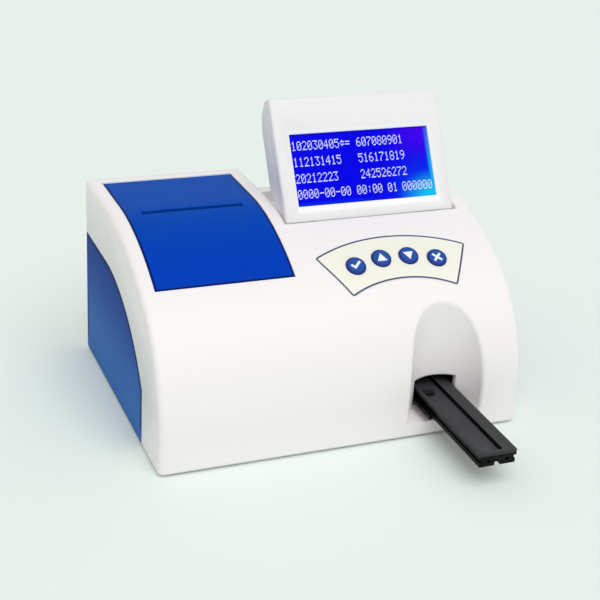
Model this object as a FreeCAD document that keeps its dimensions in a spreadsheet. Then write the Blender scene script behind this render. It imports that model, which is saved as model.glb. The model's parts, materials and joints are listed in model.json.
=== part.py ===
"""Benchtop urine strip analyzer as a parametric FreeCAD document.

Millimetres, +Z up, +Y to the back.  The origin is the middle of the footprint on the bench,
with the strip tray run out.  Every size that can be set by itself is a cell of the sheet.
"""
import FreeCAD, Part
import math
import os
import re
import Sketcher
from FreeCAD import Placement, Rotation, Vector

DIMENSIONS = {
    # case
    "case_width": 210.0, "case_depth": 154.6, "case_height": 106.5, "wall": 3.0,
    "top_radius": 127.6, "top_sweep": 12.95, "middle_radius": 149.5, "middle_sweep": 33.34,
    "nose_radius": 72.1, "side_edge_radius": 3.2, "rear_recess": 2.0,
    "floor_thickness": 3.0, "panel_thickness": 2.5, "fit_gap": 0.2,
    "boss_width": 8.0, "boss_height": 20.0, "boss_rear": 26.0, "boss_front": 128.0,
    "screw_radius": 1.45, "screw_clearance": 0.05, "screw_head_radius": 2.8, "screw_head": 1.6,
    "screw_length": 14.0,
    "foot_radius": 7.0, "foot_height": 1.5, "foot_inset": 18.0,
    # blue side panels
    "side_panel_thickness": 1.2, "side_panel_height": 75.0, "side_panel_reach": 121.0,
    "side_panel_curve": 82.0,
    # printer cover and paper bay
    "cover_side": 8.2, "cover_width": 77.4, "cover_rear": 6.1, "cover_front": 115.7,
    "cover_thickness": 1.8, "cover_ledge": 2.0, "cover_gap": 0.3, "hinge_barrel_radius": 1.9,
    "cover_pin_radius": 1.0, "cover_pin_length": 8.0, "slot_length": 59.0, "slot_width": 3.4,
    "slot_rear": 55.5,
    "bay_depth": 54.5, "bay_drop": 5.9, "bay_wall": 1.5, "bay_front": 74.0, "bay_rear": 8.0,
    "roll_radius": 20.0, "roll_width": 57.0, "roll_rear": 30.0, "roll_drop": 29.5,
    "core_radius": 6.5, "spindle_radius": 3.0,
    "platen_radius": 4.0, "platen_drop": 11.5, "platen_journal": 1.5,
    "head_thickness": 3.0, "head_height": 9.0, "side_play": 1.0, "frame_plate": 2.0,
    "printer_module": 0.5, "platen_teeth": 26.0, "motor_teeth": 14.0, "printer_gear_width": 2.5,
    "printer_motor_radius": 5.5, "printer_motor_length": 14.0,
    # display
    "display_gap": 8.4, "display_side": 11.3, "display_length": 71.0, "display_lean": 30.7,
    "display_foot_rear": 79.0, "display_drop": 5.0, "display_depth": 17.6,
    "display_wall": 2.2, "display_split": 6.0, "display_top_depth": 9.0, "display_edge": 1.6,
    "glass_inset_left": 9.5, "glass_inset_right": 8.7, "glass_low": 9.0, "glass_high": 50.3,
    "bevel_side": 2.2, "bevel_low": 4.4, "bevel_high": 3.0, "bevel_depth": 1.5,
    "glass_thickness": 1.0, "module_thickness": 3.4, "module_side": 2.2, "glass_side": 2.0,
    "display_board": 1.6, "hinge_behind": 7.0, "hinge_drop": 2.5, "display_pin_radius": 1.5, "ear_radius": 3.0,
    "ear_width": 3.0, "lug_width": 8.0, "hinge_inset": 14.0,
    # well behind and under the display
    "well_gap_left": 1.0, "well_gap_right": 1.8, "well_rear": 7.6, "well_ahead": 0.9,
    "well_depth": 14.5, "ledge_rise": 6.3,
    # keypad
    "keypad_slope": 29.3, "keypad_outer": 98.2, "keypad_inner": 67.5,
    "keypad_centre": 79.4, "keypad_half_angle": 28.0, "keypad_corner": 1.8,
    "overlay_thickness": 0.5, "key_radius": 5.7, "key_ring": 82.3, "key_first": -17.2,
    "key_pitch": 11.65, "key_proud": 1.2, "key_gap": 0.2, "key_flange": 0.9, "key_length": 6.4,
    "key_travel": 0.8, "dome_radius": 3.0, "dome_height": 0.6, "board_thickness": 1.6,
    "keypad_post_radius": 2.6, "keypad_post_inset": 3.0, "dome_gap": 0.1, "pilot_radius": 1.05,
    "keypad_board_length": 78.0, "keypad_board_width": 26.0,
    # scoop and tray
    "scoop_shift": 0.7, "scoop_radius": 22.2, "scoop_ahead": 3.1, "scoop_floor": 8.0, "scoop_rim": 2.5,
    "tray_side": 45.0, "tray_width": 22.0, "tray_length": 128.0, "tray_height": 8.0,
    "tray_bottom": 12.0, "tray_reach": 57.4, "tray_travel": 72.0, "flange_height": 3.5,
    "groove_height": 2.0, "groove_depth": 1.5, "lower_inset": 0.5, "channel_depth": 1.6,
    "channel_left": 1.5, "channel_right": 8.4, "line_width": 1.0, "line_depth": 2.2,
    "end_notch_width": 3.4, "end_notch_height": 2.2, "tray_clearance": 0.3,
    "opening_side": 1.5, "opening_below": 2.5, "opening_above": 5.5,
    "rack_width": 6.0, "rack_module": 0.8, "rack_inset": 3.0, "rack_rise": 1.0,
    "pinion_teeth": 12.0, "pinion_width": 5.0, "pinion_rear": 111.0, "shaft_radius": 1.5,
    "running_clearance": 0.05,
    "rail_width": 4.6, "rail_front": 130.0, "rail_rear": 10.0, "guide_reach": 23.0,
    "motor_length": 24.0, "motor_width": 10.0, "motor_height": 12.0,
    # optical head
    "head_front": 124.0, "head_depth": 26.0, "head_width": 34.0, "head_low": 26.0,
    "head_tall": 24.0, "lens_radius": 5.0, "lens_thickness": 2.0, "leg_thickness": 3.0,
    # electronics
    "main_side": 15.0, "main_gap": 26.0, "main_rear": 10.0, "main_front": 106.0,
    "main_height": 12.0, "standoff_radius": 3.0, "standoff_inset": 6.0,
    "jack_side": 37.0, "jack_width": 9.0, "jack_height": 11.0, "jack_bore": 3.1, "jack_pin": 1.0,
    "jack_depth": 9.0, "port_shift": 31.5, "port_width": 31.0, "port_height": 12.5,
    "port_shell_width": 17.0, "port_shell_height": 8.6,
    "switch_side": 38.5, "switch_height": 39.5, "switch_width": 13.0, "switch_tall": 20.0,
    "switch_depth": 13.5, "rocker_width": 12.0, "rocker_tall": 17.0, "rocker_swell": 5.3,
    "rocker_axis": 7.7,
}

# Places and widths that follow from the sizes above, worked out by the sheet.
FOLLOWING = {
    "cover_left": "cover_side - case_width / 2", "cover_right": "cover_left + cover_width",
    "display_left": "cover_right + display_gap", "display_right": "case_width / 2 - display_side",
    "display_width": "display_right - display_left",
    "display_foot_height": "case_height - display_drop",
    "glass_left": "display_left + glass_inset_left",
    "glass_width": "display_width - glass_inset_left - glass_inset_right",
    "hinge_rear": "display_foot_rear - hinge_behind",
    "hinge_height": "display_foot_height - hinge_drop",
    "well_left": "display_left - well_gap_left", "well_right": "display_right + well_gap_right",
    "well_front": "display_foot_rear + well_ahead",
    "well_floor": "display_foot_height - well_depth", "well_ledge": "well_floor + ledge_rise",
    "bay_floor": "case_height - bay_depth", "bay_top": "case_height - bay_drop",
    "roll_height": "case_height - roll_drop", "platen_height": "case_height - platen_drop",
    "keypad_x": "(display_left + display_right) / 2",
    "tray_x": "case_width / 2 - tray_side", "scoop_x": "tray_x - scoop_shift",
    "main_left": "main_side - case_width / 2", "main_right": "tray_x - main_gap",
    "jack_x": "jack_side - case_width / 2", "port_x": "jack_x + port_shift",
    "switch_x": "case_width / 2 - switch_side",
}

doc = FreeCAD.newDocument("urine_analyzer")
sheet = doc.addObject("Spreadsheet::Sheet", "Sizes")
ALIASES = {**DIMENSIONS, **{alias: f"={formula}" for alias, formula in FOLLOWING.items()}}
for row, (alias, content) in enumerate(ALIASES.items(), start=1):
    sheet.set(f"A{row}", alias)
    sheet.setAlias(f"B{row}", alias)
    sheet.set(f"B{row}", str(content))
doc.recompute()


class Size:
    """Reads the sheet's numbers for geometry that the script works out itself."""

    def __getattr__(self, alias):
        return float(sheet.get(alias))


d = Size()
nodes = {}

# Datum expressions: the back and front faces of the case, its lower edge and its flat top.
REAR = "((case_depth + tray_reach) / 2)"
FRONT = "((tray_reach - case_depth) / 2)"
BASE = "foot_height"
TOP = "(foot_height + case_height)"
CEILING = f"({TOP} - wall)"
DECK = f"({BASE} + floor_thickness)"
HALF = "(case_width / 2)"
rear_y = (d.case_depth + d.tray_reach) / 2
base_z = d.foot_height


def bind(item, prop, expression):
    """Bind one property to the sheet, with each alias written without the sheet's name."""
    full = re.sub(r"\b[a-z][a-z_]+\b", lambda m: f"Sizes.{m[0]}" if m[0] in ALIASES else m[0],
                  expression)
    item.setExpression(prop, full)


def keep(item, node):
    """Make an object the kept sub-part of that name."""
    item.Label = node
    nodes[node] = item
    return item


def box(name, x_low, x_high, y_low, y_high, z_low, z_high):
    """A block between six planes, each given as an expression."""
    item = doc.addObject("Part::Box", name)
    limits = ((x_low, x_high, "Length", "x"), (y_low, y_high, "Width", "y"), (z_low, z_high, "Height", "z"))
    for low, high, prop, axis in limits:
        bind(item, prop, f"({high}) - ({low})")
        bind(item, f"Placement.Base.{axis}", low)
    return item


TURNS = {"x": Rotation(Vector(0, 1, 0), 90), "y": Rotation(Vector(1, 0, 0), -90), "z": Rotation()}


def rod(name, axis, radius, length, x, y, z):
    """A cylinder that starts at a point and runs along +x, +y or +z."""
    item = doc.addObject("Part::Cylinder", name)
    item.Placement = Placement(Vector(), TURNS[axis])
    bind(item, "Radius", radius)
    bind(item, "Height", length)
    for letter, place in zip("xyz", (x, y, z)):
        bind(item, f"Placement.Base.{letter}", place)
    return item


def local_rod(name, radius, length, placement):
    """A cylinder that stands on a placement's XY plane."""
    item = doc.addObject("Part::Cylinder", name)
    bind(item, "Radius", radius)
    bind(item, "Height", length)
    item.Placement = placement
    return item


def fuse(name, items):
    item = doc.addObject("Part::MultiFuse", name)
    item.Shapes = items
    return item


def cut(name, base, tools):
    item = doc.addObject("Part::Cut", name)
    item.Base = base
    item.Tool = tools[0] if len(tools) == 1 else fuse(f"{name}_tools", tools)
    return item


def common(name, first, second):
    item = doc.addObject("Part::MultiCommon", name)
    item.Shapes = [first, second]
    return item


def group(name, items):
    """Several separate solids as one sub-part."""
    item = doc.addObject("Part::Compound", name)
    item.Links = items
    return item


def sketched(name, edges, length, symmetric=False):
    """A body padded from one closed outline on its XY plane."""
    body = doc.addObject("PartDesign::Body", name)
    plane = next(feature for feature in body.Origin.OriginFeatures if feature.Role == "XY_Plane")
    sketch = body.newObject("Sketcher::SketchObject", f"{name}_outline")
    sketch.AttachmentSupport = (plane, [""])
    sketch.MapMode = "FlatFace"
    sketch.addGeometry(edges, False)
    for index in range(len(edges) - 1):
        sketch.addConstraint(Sketcher.Constraint("Coincident", index, 2, index + 1, 1))
    pad = body.newObject("PartDesign::Pad", f"{name}_pad")
    pad.Profile = sketch
    bind(pad, "Length", length)
    pad.Midplane = symmetric
    return body


def loop(points):
    """Straight edges through the points and back to the first."""
    ends = [Vector(*point, 0) for point in points]
    return [Part.LineSegment(a, b) for a, b in zip(ends, ends[1:] + ends[:1])]


def across(body, x=0.0):
    """Stand a body's sketch in the YZ plane, with its pad running along +X from x."""
    body.Placement = Placement(Vector(x, 0, 0), Rotation(Vector(0, 1, 0), Vector(0, 0, 1), Vector(1, 0, 0), "XYZ"))
    return body


# --- the side profile of the case: flat top, three tangent arcs and an upright front ---
class Profile:
    """Centres and joints of the arcs, for the surface set in by an offset."""

    def __init__(self):
        top, middle = math.radians(d.top_sweep), math.radians(d.middle_sweep)
        run = (d.top_radius * math.sin(top) + d.middle_radius * (math.sin(middle) - math.sin(top))
               + d.nose_radius * (1 - math.sin(middle)))
        front = rear_y - d.case_depth
        height = base_z + d.case_height
        self.first = (front + run, height - d.top_radius)
        joint = self.on(self.first, d.top_radius, d.top_sweep)
        self.second = self.back(joint, d.middle_radius, d.top_sweep)
        joint = self.on(self.second, d.middle_radius, d.middle_sweep)
        self.third = self.back(joint, d.nose_radius, d.middle_sweep)

    @staticmethod
    def on(centre, radius, slope):
        angle = math.radians(slope)
        return (centre[0] - radius * math.sin(angle), centre[1] + radius * math.cos(angle))

    @staticmethod
    def back(point, radius, slope):
        angle = math.radians(slope)
        return (point[0] + radius * math.sin(angle), point[1] - radius * math.cos(angle))

    def edges(self, offset, below):
        """The closed outline under the surface that lies `offset` inside the skin."""
        arcs = ((self.first, d.top_radius, 0.0, d.top_sweep),
                (self.second, d.middle_radius, d.top_sweep, d.middle_sweep),
                (self.third, d.nose_radius, d.middle_sweep, 90.0))
        back = rear_y + below
        start = Vector(back, base_z + d.case_height - offset, 0)
        result = [Part.LineSegment(start, Vector(*self.on(arcs[0][0], arcs[0][1] - offset, 0.0), 0))]
        for centre, radius, low, high in arcs:
            ends = [Vector(*self.on(centre, radius - offset, slope), 0) for slope in (low, (low + high) / 2, high)]
            result.append(Part.Arc(*ends))
        front = rear_y - d.case_depth + offset
        corner = Vector(front, base_z - below, 0)
        result.append(Part.LineSegment(ends[2], corner))
        result.append(Part.LineSegment(corner, Vector(back, base_z - below, 0)))
        result.append(Part.LineSegment(Vector(back, base_z - below, 0), start))
        return result

    def under(self, name, offset, low_x, high_x, below=0.0):
        """A block of the space under the offset surface, between two planes across X."""
        body = sketched(name, self.edges(offset, below), f"({high_x}) - ({low_x})")
        across(body)
        bind(body, "Placement.Base.x", low_x)
        return body

    def point(self, slope):
        return self.on(self.second, d.middle_radius, slope)


profile = Profile()


# --- frames of the display and of the keypad ---
display_frame = Placement(
    Vector(0, rear_y - d.display_foot_rear, base_z + d.display_foot_height),
    Rotation(Vector(1, 0, 0), 90 - d.display_lean))
keypad_y, keypad_z = profile.point(d.keypad_slope)
keypad_frame = Placement(Vector(d.keypad_x, keypad_y, keypad_z), Rotation(Vector(1, 0, 0), d.keypad_slope))
KEYS = ("key_confirm", "key_up", "key_down", "key_cancel")


def key_spot(index):
    """Place of a key on its ring, in the keypad's frame."""
    angle = math.radians(d.key_first + index * d.key_pitch)
    return (d.key_ring * math.sin(angle), d.key_ring * math.cos(angle) - d.keypad_centre)


def on_keypad(x, y, z):
    """A placement at a point of the keypad's frame."""
    return keypad_frame.multiply(Placement(Vector(x, y, z), Rotation()))


def key_holes(prefix):
    """The four holes that the keys pass through, as tools for one piece."""
    return [local_rod(f"{prefix}_{key}", "key_radius + key_gap", "wall * 4",
                      on_keypad(*key_spot(index), -2 * d.wall)) for index, key in enumerate(KEYS)]


def tilted(item, frame):
    item.Placement = frame
    return item


def sector(name, grow, thickness):
    """The keypad's ring sector, centred on the keypad's frame and grown by a gap."""
    start = Rotation(Vector(0, 0, 1), 90 - d.keypad_half_angle)
    rings = []
    for ring, radius in (("outer", f"keypad_outer + {grow}"), ("inner", f"keypad_inner - {grow}")):
        item = doc.addObject("Part::Cylinder", f"{name}_{ring}")
        item.Placement = Placement(Vector(0, -d.keypad_centre, -d.wall * 2), start)
        bind(item, "Radius", radius)
        bind(item, "Height", thickness)
        bind(item, "Angle", "2 * keypad_half_angle" if ring == "outer" else "360")
        rings.append(item)
    ring = cut(f"{name}_ring", rings[0], [rings[1]])
    doc.recompute()
    rounded = doc.addObject("Part::Fillet", name)
    rounded.Base = ring
    upright = [number for number, edge in enumerate(ring.Shape.Edges, start=1)
               if abs(edge.BoundBox.ZLength - ring.Shape.BoundBox.ZLength) < 0.01
               and edge.BoundBox.XLength < 0.01]
    rounded.Edges = [(number, d.keypad_corner, d.keypad_corner) for number in upright]
    return tilted(rounded, keypad_frame)


# ============================== upper case ==============================
LEDGE = f"({BASE} + well_ledge)"
WELL = f"({BASE} + well_floor)"
inside = profile.under("inside", d.wall, f"wall - {HALF}", f"{HALF} - wall", 1.0)
outside = profile.under("outside", 0.0, f"-{HALF}", HALF)
doc.recompute()
outside_pad = outside.Tip
edge_fillet = outside.newObject("PartDesign::Fillet", "outside_fillet")
arris = [f"Edge{number}" for number, edge in enumerate(outside_pad.Shape.Edges, start=1)
         if edge.BoundBox.YLength < 0.01 and abs(edge.BoundBox.YMax - d.case_height - base_z) < 0.01
         and edge.BoundBox.XLength > 1.0]
edge_fillet.Base = (outside_pad, arris)
bind(edge_fillet, "Radius", "side_edge_radius")
outside.Tip = edge_fillet
shell = cut("shell", outside, [inside])
doc.recompute()

lining = fuse("lining", [
    box("well_block", "well_left - wall", HALF, f"{REAR} - well_front - wall", REAR, f"{WELL} - wall", TOP),
    rod("scoop_wall", "z", "scoop_radius + wall", "case_height", "scoop_x", f"{FRONT} - scoop_ahead",
        f"{BASE} + scoop_floor - wall"),
])
under_ledge = box("under_ledge", "well_left - wall - 1", f"{HALF} - wall", f"{REAR} - well_rear + wall", f"{REAR} + 1",
                  f"{WELL} - wall - 1", f"{LEDGE} - wall")
rim_hollow = common("rim_hollow", box("rim_box", "well_right + wall", f"{HALF} - wall",
                                      f"{REAR} - well_front - wall - 1", f"{REAR} + 1", f"{WELL} - wall - 1", TOP),
                    profile.under("inside_rim", d.wall, f"wall - {HALF}", f"{HALF} - wall", 1.0))

posts = []
for side, sign in (("left", "-1"), ("right", "1")):
    for end, dist in (("rear", "boss_rear"), ("front", "boss_front")):
        inner = f"({sign} * ({HALF} - wall - boss_width / 2))"
        posts.append(box(f"post_{side}_{end}", f"{inner} - boss_width / 2 - 0.5", f"{inner} + boss_width / 2 + 0.5",
                         f"{REAR} - {dist} - boss_width / 2", f"{REAR} - {dist} + boss_width / 2",
                         DECK, f"{BASE} + boss_height"))
cover_bosses = []
for side, edge, far in (("left", "cover_left - cover_gap", -1), ("right", "cover_right + cover_gap", 1)):
    low, high = (f"{edge} - 4.2", edge) if far < 0 else (edge, f"{edge} + 4.2")
    cover_bosses.append(box(f"cover_boss_{side}", low, high, f"{REAR} - cover_rear - 5", f"{REAR} - cover_rear + 1",
                            f"{CEILING} - 2.2", f"{CEILING} + 1"))
board_top = d.key_proud - d.key_length - d.key_travel - d.dome_gap - d.dome_height
BOARD_TOP = "(key_proud - key_length - key_travel - dome_gap - dome_height)"
post_spots = [(side, on_keypad(sign * (d.keypad_board_length / 2 - d.keypad_post_inset), 0, board_top))
              for side, sign in (("left", -1), ("right", 1))]
keypad_posts = [local_rod(f"keypad_post_{side}", "keypad_post_radius", f"1 - wall - {BOARD_TOP}", spot)
                for side, spot in post_spots]
display_ears = []
lug_left = "(display_left + hinge_inset)"
lug_right = "(display_left + display_width - hinge_inset)"
for side, middle in (("left", lug_left), ("right", lug_right)):
    for face, shift in (("outer", f"{middle} - lug_width / 2 - ear_width - fit_gap"),
                        ("inner", f"{middle} + lug_width / 2 + fit_gap")):
        display_ears.append(box(f"ear_post_{side}_{face}", shift, f"{shift} + ear_width",
                                f"{REAR} - hinge_rear - ear_radius", f"{REAR} - hinge_rear + ear_radius",
                                f"{WELL} - 1", f"{BASE} + hinge_height"))
        display_ears.append(rod(f"ear_{side}_{face}", "x", "ear_radius", "ear_width", shift,
                                f"{REAR} - hinge_rear", f"{BASE} + hinge_height"))

solid_shell = fuse("solid_shell", [shell, common("trimmed_lining", lining, outside), *posts, *cover_bosses,
                                   *keypad_posts])
side_cuts = []


def side_outline(grow):
    """The side panel's outline in the YZ plane: a straight front and a quarter curve above it."""
    top = base_z + d.side_panel_height + grow
    front = rear_y - d.side_panel_reach - grow
    bend = d.side_panel_curve
    low = top - 0.52 * bend
    middle = Vector(front + 0.34 * bend, top - 0.175 * bend, 0)
    back = rear_y + 5 * grow
    bottom = base_z - 5 * grow
    points = [Vector(back, bottom, 0), Vector(back, top, 0), Vector(front + 0.85 * bend, top, 0),
              Vector(front, low, 0), Vector(front, bottom, 0)]
    return [Part.LineSegment(points[0], points[1]), Part.LineSegment(points[1], points[2]),
            Part.Arc(points[2], middle, points[3]), Part.LineSegment(points[3], points[4]),
            Part.LineSegment(points[4], points[0])]


for side, x in (("left", -d.case_width / 2 - 1.0), ("right", d.case_width / 2 - d.side_panel_thickness)):
    side_cuts.append(across(sketched(f"side_recess_{side}", side_outline(0.1), "side_panel_thickness + 1"), x))
    x_panel = x + (1.0 if side == "left" else 0.0)
    keep(across(sketched(f"panel_{side}", side_outline(0.0), "side_panel_thickness"), x_panel),
         f"side_panel_{side}")

cover_limits = ("cover_left - cover_gap", "cover_right + cover_gap", f"{REAR} - cover_front - cover_gap",
                f"{REAR} - cover_rear + cover_gap")
under_cover = profile.under("under_cover", d.cover_thickness + 0.1, f"-{HALF}", HALF)
cover_recess = cut("cover_recess", box("cover_recess_box", *cover_limits, f"{BASE} + 70", f"{TOP} + 5"),
                   [under_cover])
cover_hole = box("cover_hole", "cover_left + cover_ledge", "cover_right - cover_ledge",
                 f"{REAR} - cover_front + cover_ledge", f"{REAR} - cover_rear + cover_gap",
                 f"{BASE} + 60", f"{TOP} + 5")
barrel_y = f"{REAR} - cover_rear - hinge_barrel_radius"
barrel_z = f"{TOP} - hinge_barrel_radius"
barrel_room = rod("barrel_room", "x", "hinge_barrel_radius + 0.15",
                  "cover_right - cover_left + 2 * cover_gap", "cover_left - cover_gap", barrel_y, barrel_z)
pin_holes = rod("cover_pin_hole", "x", "cover_pin_radius + running_clearance",
                "cover_right - cover_left + 2 * cover_gap + 7", "cover_left - cover_gap - 3.5", barrel_y, barrel_z)
well_air = box("well_air", "well_left", "well_right", f"{REAR} - well_front", f"{REAR} - well_rear",
               WELL, f"{TOP} + 20")
ledge_air = box("ledge_space", "well_left", "well_right", f"{REAR} - well_rear - 1", f"{REAR} + 5", LEDGE,
                f"{TOP} + 20")
scoop_air = rod("scoop_air", "z", "scoop_radius", "case_height", "scoop_x", f"{FRONT} - scoop_ahead",
                f"{BASE} + scoop_floor")
TRAY_LEFT = "(tray_x - tray_width / 2)"
TRAY_RIGHT = "(tray_x + tray_width / 2)"
TRAY_LOW = f"({BASE} + tray_bottom)"
TRAY_TOP = f"({BASE} + tray_bottom + tray_height)"
tray_port = box("tray_port", f"{TRAY_LEFT} - opening_side - 1", f"{TRAY_RIGHT} + opening_side",
                FRONT, f"{FRONT} + scoop_radius + wall + 5", f"{TRAY_LOW} - opening_below",
                f"{TRAY_TOP} + opening_above")
under_overlay = profile.under("under_overlay", d.overlay_thickness, f"-{HALF}", HALF)
overlay_recess = cut("overlay_recess", sector("overlay_prism_wide", "0.1", "wall * 4"), [under_overlay])
screw_holes = []
for side, sign in (("left", "-1"), ("right", "1")):
    for end, dist in (("rear", "boss_rear"), ("front", "boss_front")):
        screw_holes.append(rod(f"screw_hole_{side}_{end}", "z", "screw_radius + screw_clearance",
                               "screw_length", f"{sign} * ({HALF} - wall - boss_width / 2)",
                               f"{REAR} - {dist}", BASE))
display_pin_bore = rod("display_pin_bore", "x", "display_pin_radius + running_clearance", "display_width",
                       "display_left", f"{REAR} - hinge_rear", f"{BASE} + hinge_height")
ears = cut("display_ears", fuse("ears_solid", display_ears), [display_pin_bore])
post_holes = [local_rod(f"keypad_post_hole_{side}", "pilot_radius", f"-wall - {BOARD_TOP}", spot)
              for side, spot in post_spots]
carved = cut("carved_case", solid_shell,
             [*side_cuts, cover_recess, cover_hole, barrel_room, pin_holes, well_air, ledge_air, scoop_air,
              tray_port, under_ledge, rim_hollow, *key_holes("case"), overlay_recess, *screw_holes, *post_holes])
case_with_ears = fuse("case_with_ears", [carved, ears])


def scoop_edges(shape):
    """Numbers of the edges where the round scoop breaks through the front of the case."""
    numbers = []
    for number, edge in enumerate(shape.Edges, start=1):
        sides = [face.Surface for face in shape.ancestorsOfType(edge, Part.Face)]
        scoops = [side for side in sides if isinstance(side, Part.Cylinder)
                  and abs(side.Radius - d.scoop_radius) < 0.001 and abs(side.Axis.z) > 0.999]
        fronts = [side for side in sides if (isinstance(side, Part.Cylinder) and abs(side.Axis.x) > 0.999)
                  or (isinstance(side, Part.Plane) and abs(side.Axis.y) > 0.999)]
        if scoops and fronts:
            numbers.append(number)
    return numbers


doc.recompute()
soft_rimmed = doc.addObject("Part::Fillet", "case_with_soft_rim")
soft_rimmed.Base = case_with_ears
soft_rimmed.Edges = [(number, d.scoop_rim, d.scoop_rim) for number in scoop_edges(case_with_ears.Shape)]
keep(soft_rimmed, "upper_case")

# ============================== keypad ==============================
overlay_skin = cut("overlay_skin", common("overlay_block", sector("overlay_prism", "0", "wall * 4"), outside),
                   [under_overlay])
keep(cut("overlay", overlay_skin, key_holes("overlay")), "keypad_overlay")
KEY_BOTTOM = "(key_proud - key_length)"
domes = []
for index, key in enumerate(KEYS):
    x, y = key_spot(index)
    stem = rod(f"{key}_stem", "z", "key_radius", "key_length", "0", "0", KEY_BOTTOM)
    flange = rod(f"{key}_flange", "z", "key_radius + 1", "key_flange", "0", "0", KEY_BOTTOM)
    item = fuse(f"{key}_solid", [stem, flange])
    item.Placement = on_keypad(x, y, 0)
    keep(item, key)
    dome = rod(f"{key}_dome", "z", "dome_radius", "dome_height", f"{x}", f"{y}",
               BOARD_TOP)
    domes.append(dome)
keep(tilted(group("domes", domes), keypad_frame), "dome_switches")
pad_board = box("pad_board", "-keypad_board_length / 2", "keypad_board_length / 2", "-keypad_board_width / 2",
                "keypad_board_width / 2", f"{BOARD_TOP} - board_thickness", BOARD_TOP)
board_holes = []
keypad_screws = []
for side, sign in (("left", -1), ("right", 1)):
    x = f"({sign} * (keypad_board_length / 2 - keypad_post_inset))"
    board_holes.append(rod(f"pad_board_hole_{side}", "z", "1.2", "6", x, "0", f"{BOARD_TOP} - 4"))
    keypad_screws.append(fuse(f"keypad_screw_{side}", [
        rod(f"keypad_screw_shank_{side}", "z", "1.0", "board_thickness + 3.2", x, "0",
            f"{BOARD_TOP} - board_thickness"),
        rod(f"keypad_screw_head_{side}", "z", "2.2", "1.4", x, "0", f"{BOARD_TOP} - board_thickness - 1.4")]))
keep(tilted(cut("pad_board_cut", pad_board, board_holes), keypad_frame), "keypad_board")
keep(tilted(group("keypad_screw_set", keypad_screws), keypad_frame), "keypad_screws")

# ============================== display ==============================
LEFT, RIGHT = "display_left", "(display_left + display_width)"
length, depth, lean_top = d.display_length, d.display_depth, d.display_top_depth
side_shape = [(0.4, -0.9), (1.2, -2.2), (8.0, -9.0), (0.31 * length, -depth), (0.80 * length, -depth),
              (length - 6.0, -depth + 2.8), (length - 1.2, -lean_top), (length, -lean_top + 1.5), (length, 0), (0, 0)]
w = d.display_wall
hollow_shape = [(9.5, -8.0), (0.31 * length + 1, -depth + w), (0.80 * length - 1, -depth + w),
                (length - 7.0, -depth + 2.8 + w), (length - 3.2, -lean_top + w - 0.6), (length - w, -3.2),
                (length - w, -w), (4.6, -w), (4.6, -3.2)]


def display_prism(name, points, low, high):
    """A prism across the display, its outline given in (up the face, out of the face)."""
    body = across(sketched(name, loop(points), f"({high}) - ({low})"))
    bind(body, "Placement.Base.x", low)
    return body


display_solid = display_prism("display_solid", side_shape, LEFT, RIGHT)
display_hollow = display_prism("display_hollow", hollow_shape, f"{LEFT} + display_wall",
                               f"{RIGHT} - display_wall")
doc.recompute()
rounded_display = doc.addObject("Part::Fillet", "rounded_display")
rounded_display.Base = display_solid
flank = [number for number, edge in enumerate(display_solid.Shape.Edges, start=1)
         if edge.BoundBox.XLength < 0.01 and edge.BoundBox.ZMax < 0.01]
face_top = [number for number, edge in enumerate(display_solid.Shape.Edges, start=1)
            if edge.BoundBox.XLength > 1 and edge.BoundBox.YMax > length - 2 and edge.BoundBox.ZMax > -2]
rounded_display.Edges = [(number, d.display_edge, d.display_edge) for number in face_top + [
    number for number in flank if display_solid.Shape.Edges[number - 1].BoundBox.ZLength < 0.01
    and display_solid.Shape.Edges[number - 1].BoundBox.ZMax > -0.01]]
display_shell = cut("display_shell", rounded_display, [display_hollow])
bevel = doc.addObject("Part::Wedge", "glass_bevel")
for prop, expression in (
        ("Xmin", "glass_left"), ("Xmax", "glass_left + glass_width"),
        ("X2min", "glass_left - bevel_side"), ("X2max", "glass_left + glass_width + bevel_side"),
        ("Zmin", "-glass_high"), ("Zmax", "-glass_low"),
        ("Z2min", "-glass_high - bevel_high"), ("Z2max", "-glass_low + bevel_low"),
        ("Ymin", "-bevel_depth"), ("Ymax", "0.01")):
    bind(bevel, prop, expression)
bevel.Placement = Placement(Vector(), Rotation(Vector(1, 0, 0), 90))
glass_hole = box("glass_hole", "glass_left", "glass_left + glass_width", "glass_low", "glass_high",
                 "-display_wall - 1", "0")
split_above = box("split_above", f"{LEFT} - 10", f"{RIGHT} + 10", "-20", "display_length + 20",
                  "-display_split", "20")
split_below = box("split_below", f"{LEFT} - 10", f"{RIGHT} + 10", "-20", "display_length + 20",
                  "-display_depth - 20", "-display_split")
corner_x = (f"{LEFT} + display_wall + 2", f"{RIGHT} - display_wall - 2")
corner_y = ("16", "display_length - 12")
bezel_posts, bezel_holes, display_screws, back_holes = [], [], [], []
for index, (x, y) in enumerate((x, y) for x in corner_x for y in corner_y):
    bezel_posts.append(rod(f"bezel_post_{index}", "z", "2.2", "display_split - 1", x, y, "-display_split"))
    bezel_holes.append(rod(f"bezel_hole_{index}", "z", "1.05", "display_split - 2", x, y, "-display_split"))
    back_holes.append(rod(f"back_hole_{index}", "z", "1.2", "display_depth", x, y, "-display_depth - 1"))
    back_holes.append(rod(f"back_sink_{index}", "z", "2.4", "display_depth - 8", x, y, "-display_depth - 1"))
    display_screws.append(fuse(f"display_screw_{index}", [
        rod(f"display_screw_shank_{index}", "z", "1.0", "6", x, y, "-9"),
        rod(f"display_screw_head_{index}", "z", "2.1", "1.4", x, y, "-10.4")]))
bezel_half = fuse("bezel_half", [common("bezel_shell", display_shell, split_above), *bezel_posts])
keep(tilted(cut("bezel_cut", bezel_half, [bevel, glass_hole, *bezel_holes]), display_frame), "display_bezel")
AXIS_U = (d.display_foot_rear - d.hinge_rear, d.hinge_height - d.display_foot_height)
lean = math.radians(90 - d.display_lean)
axis_u = AXIS_U[0] * math.cos(lean) + AXIS_U[1] * math.sin(lean)
axis_n = -AXIS_U[0] * math.sin(lean) + AXIS_U[1] * math.cos(lean)
lugs = []
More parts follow.
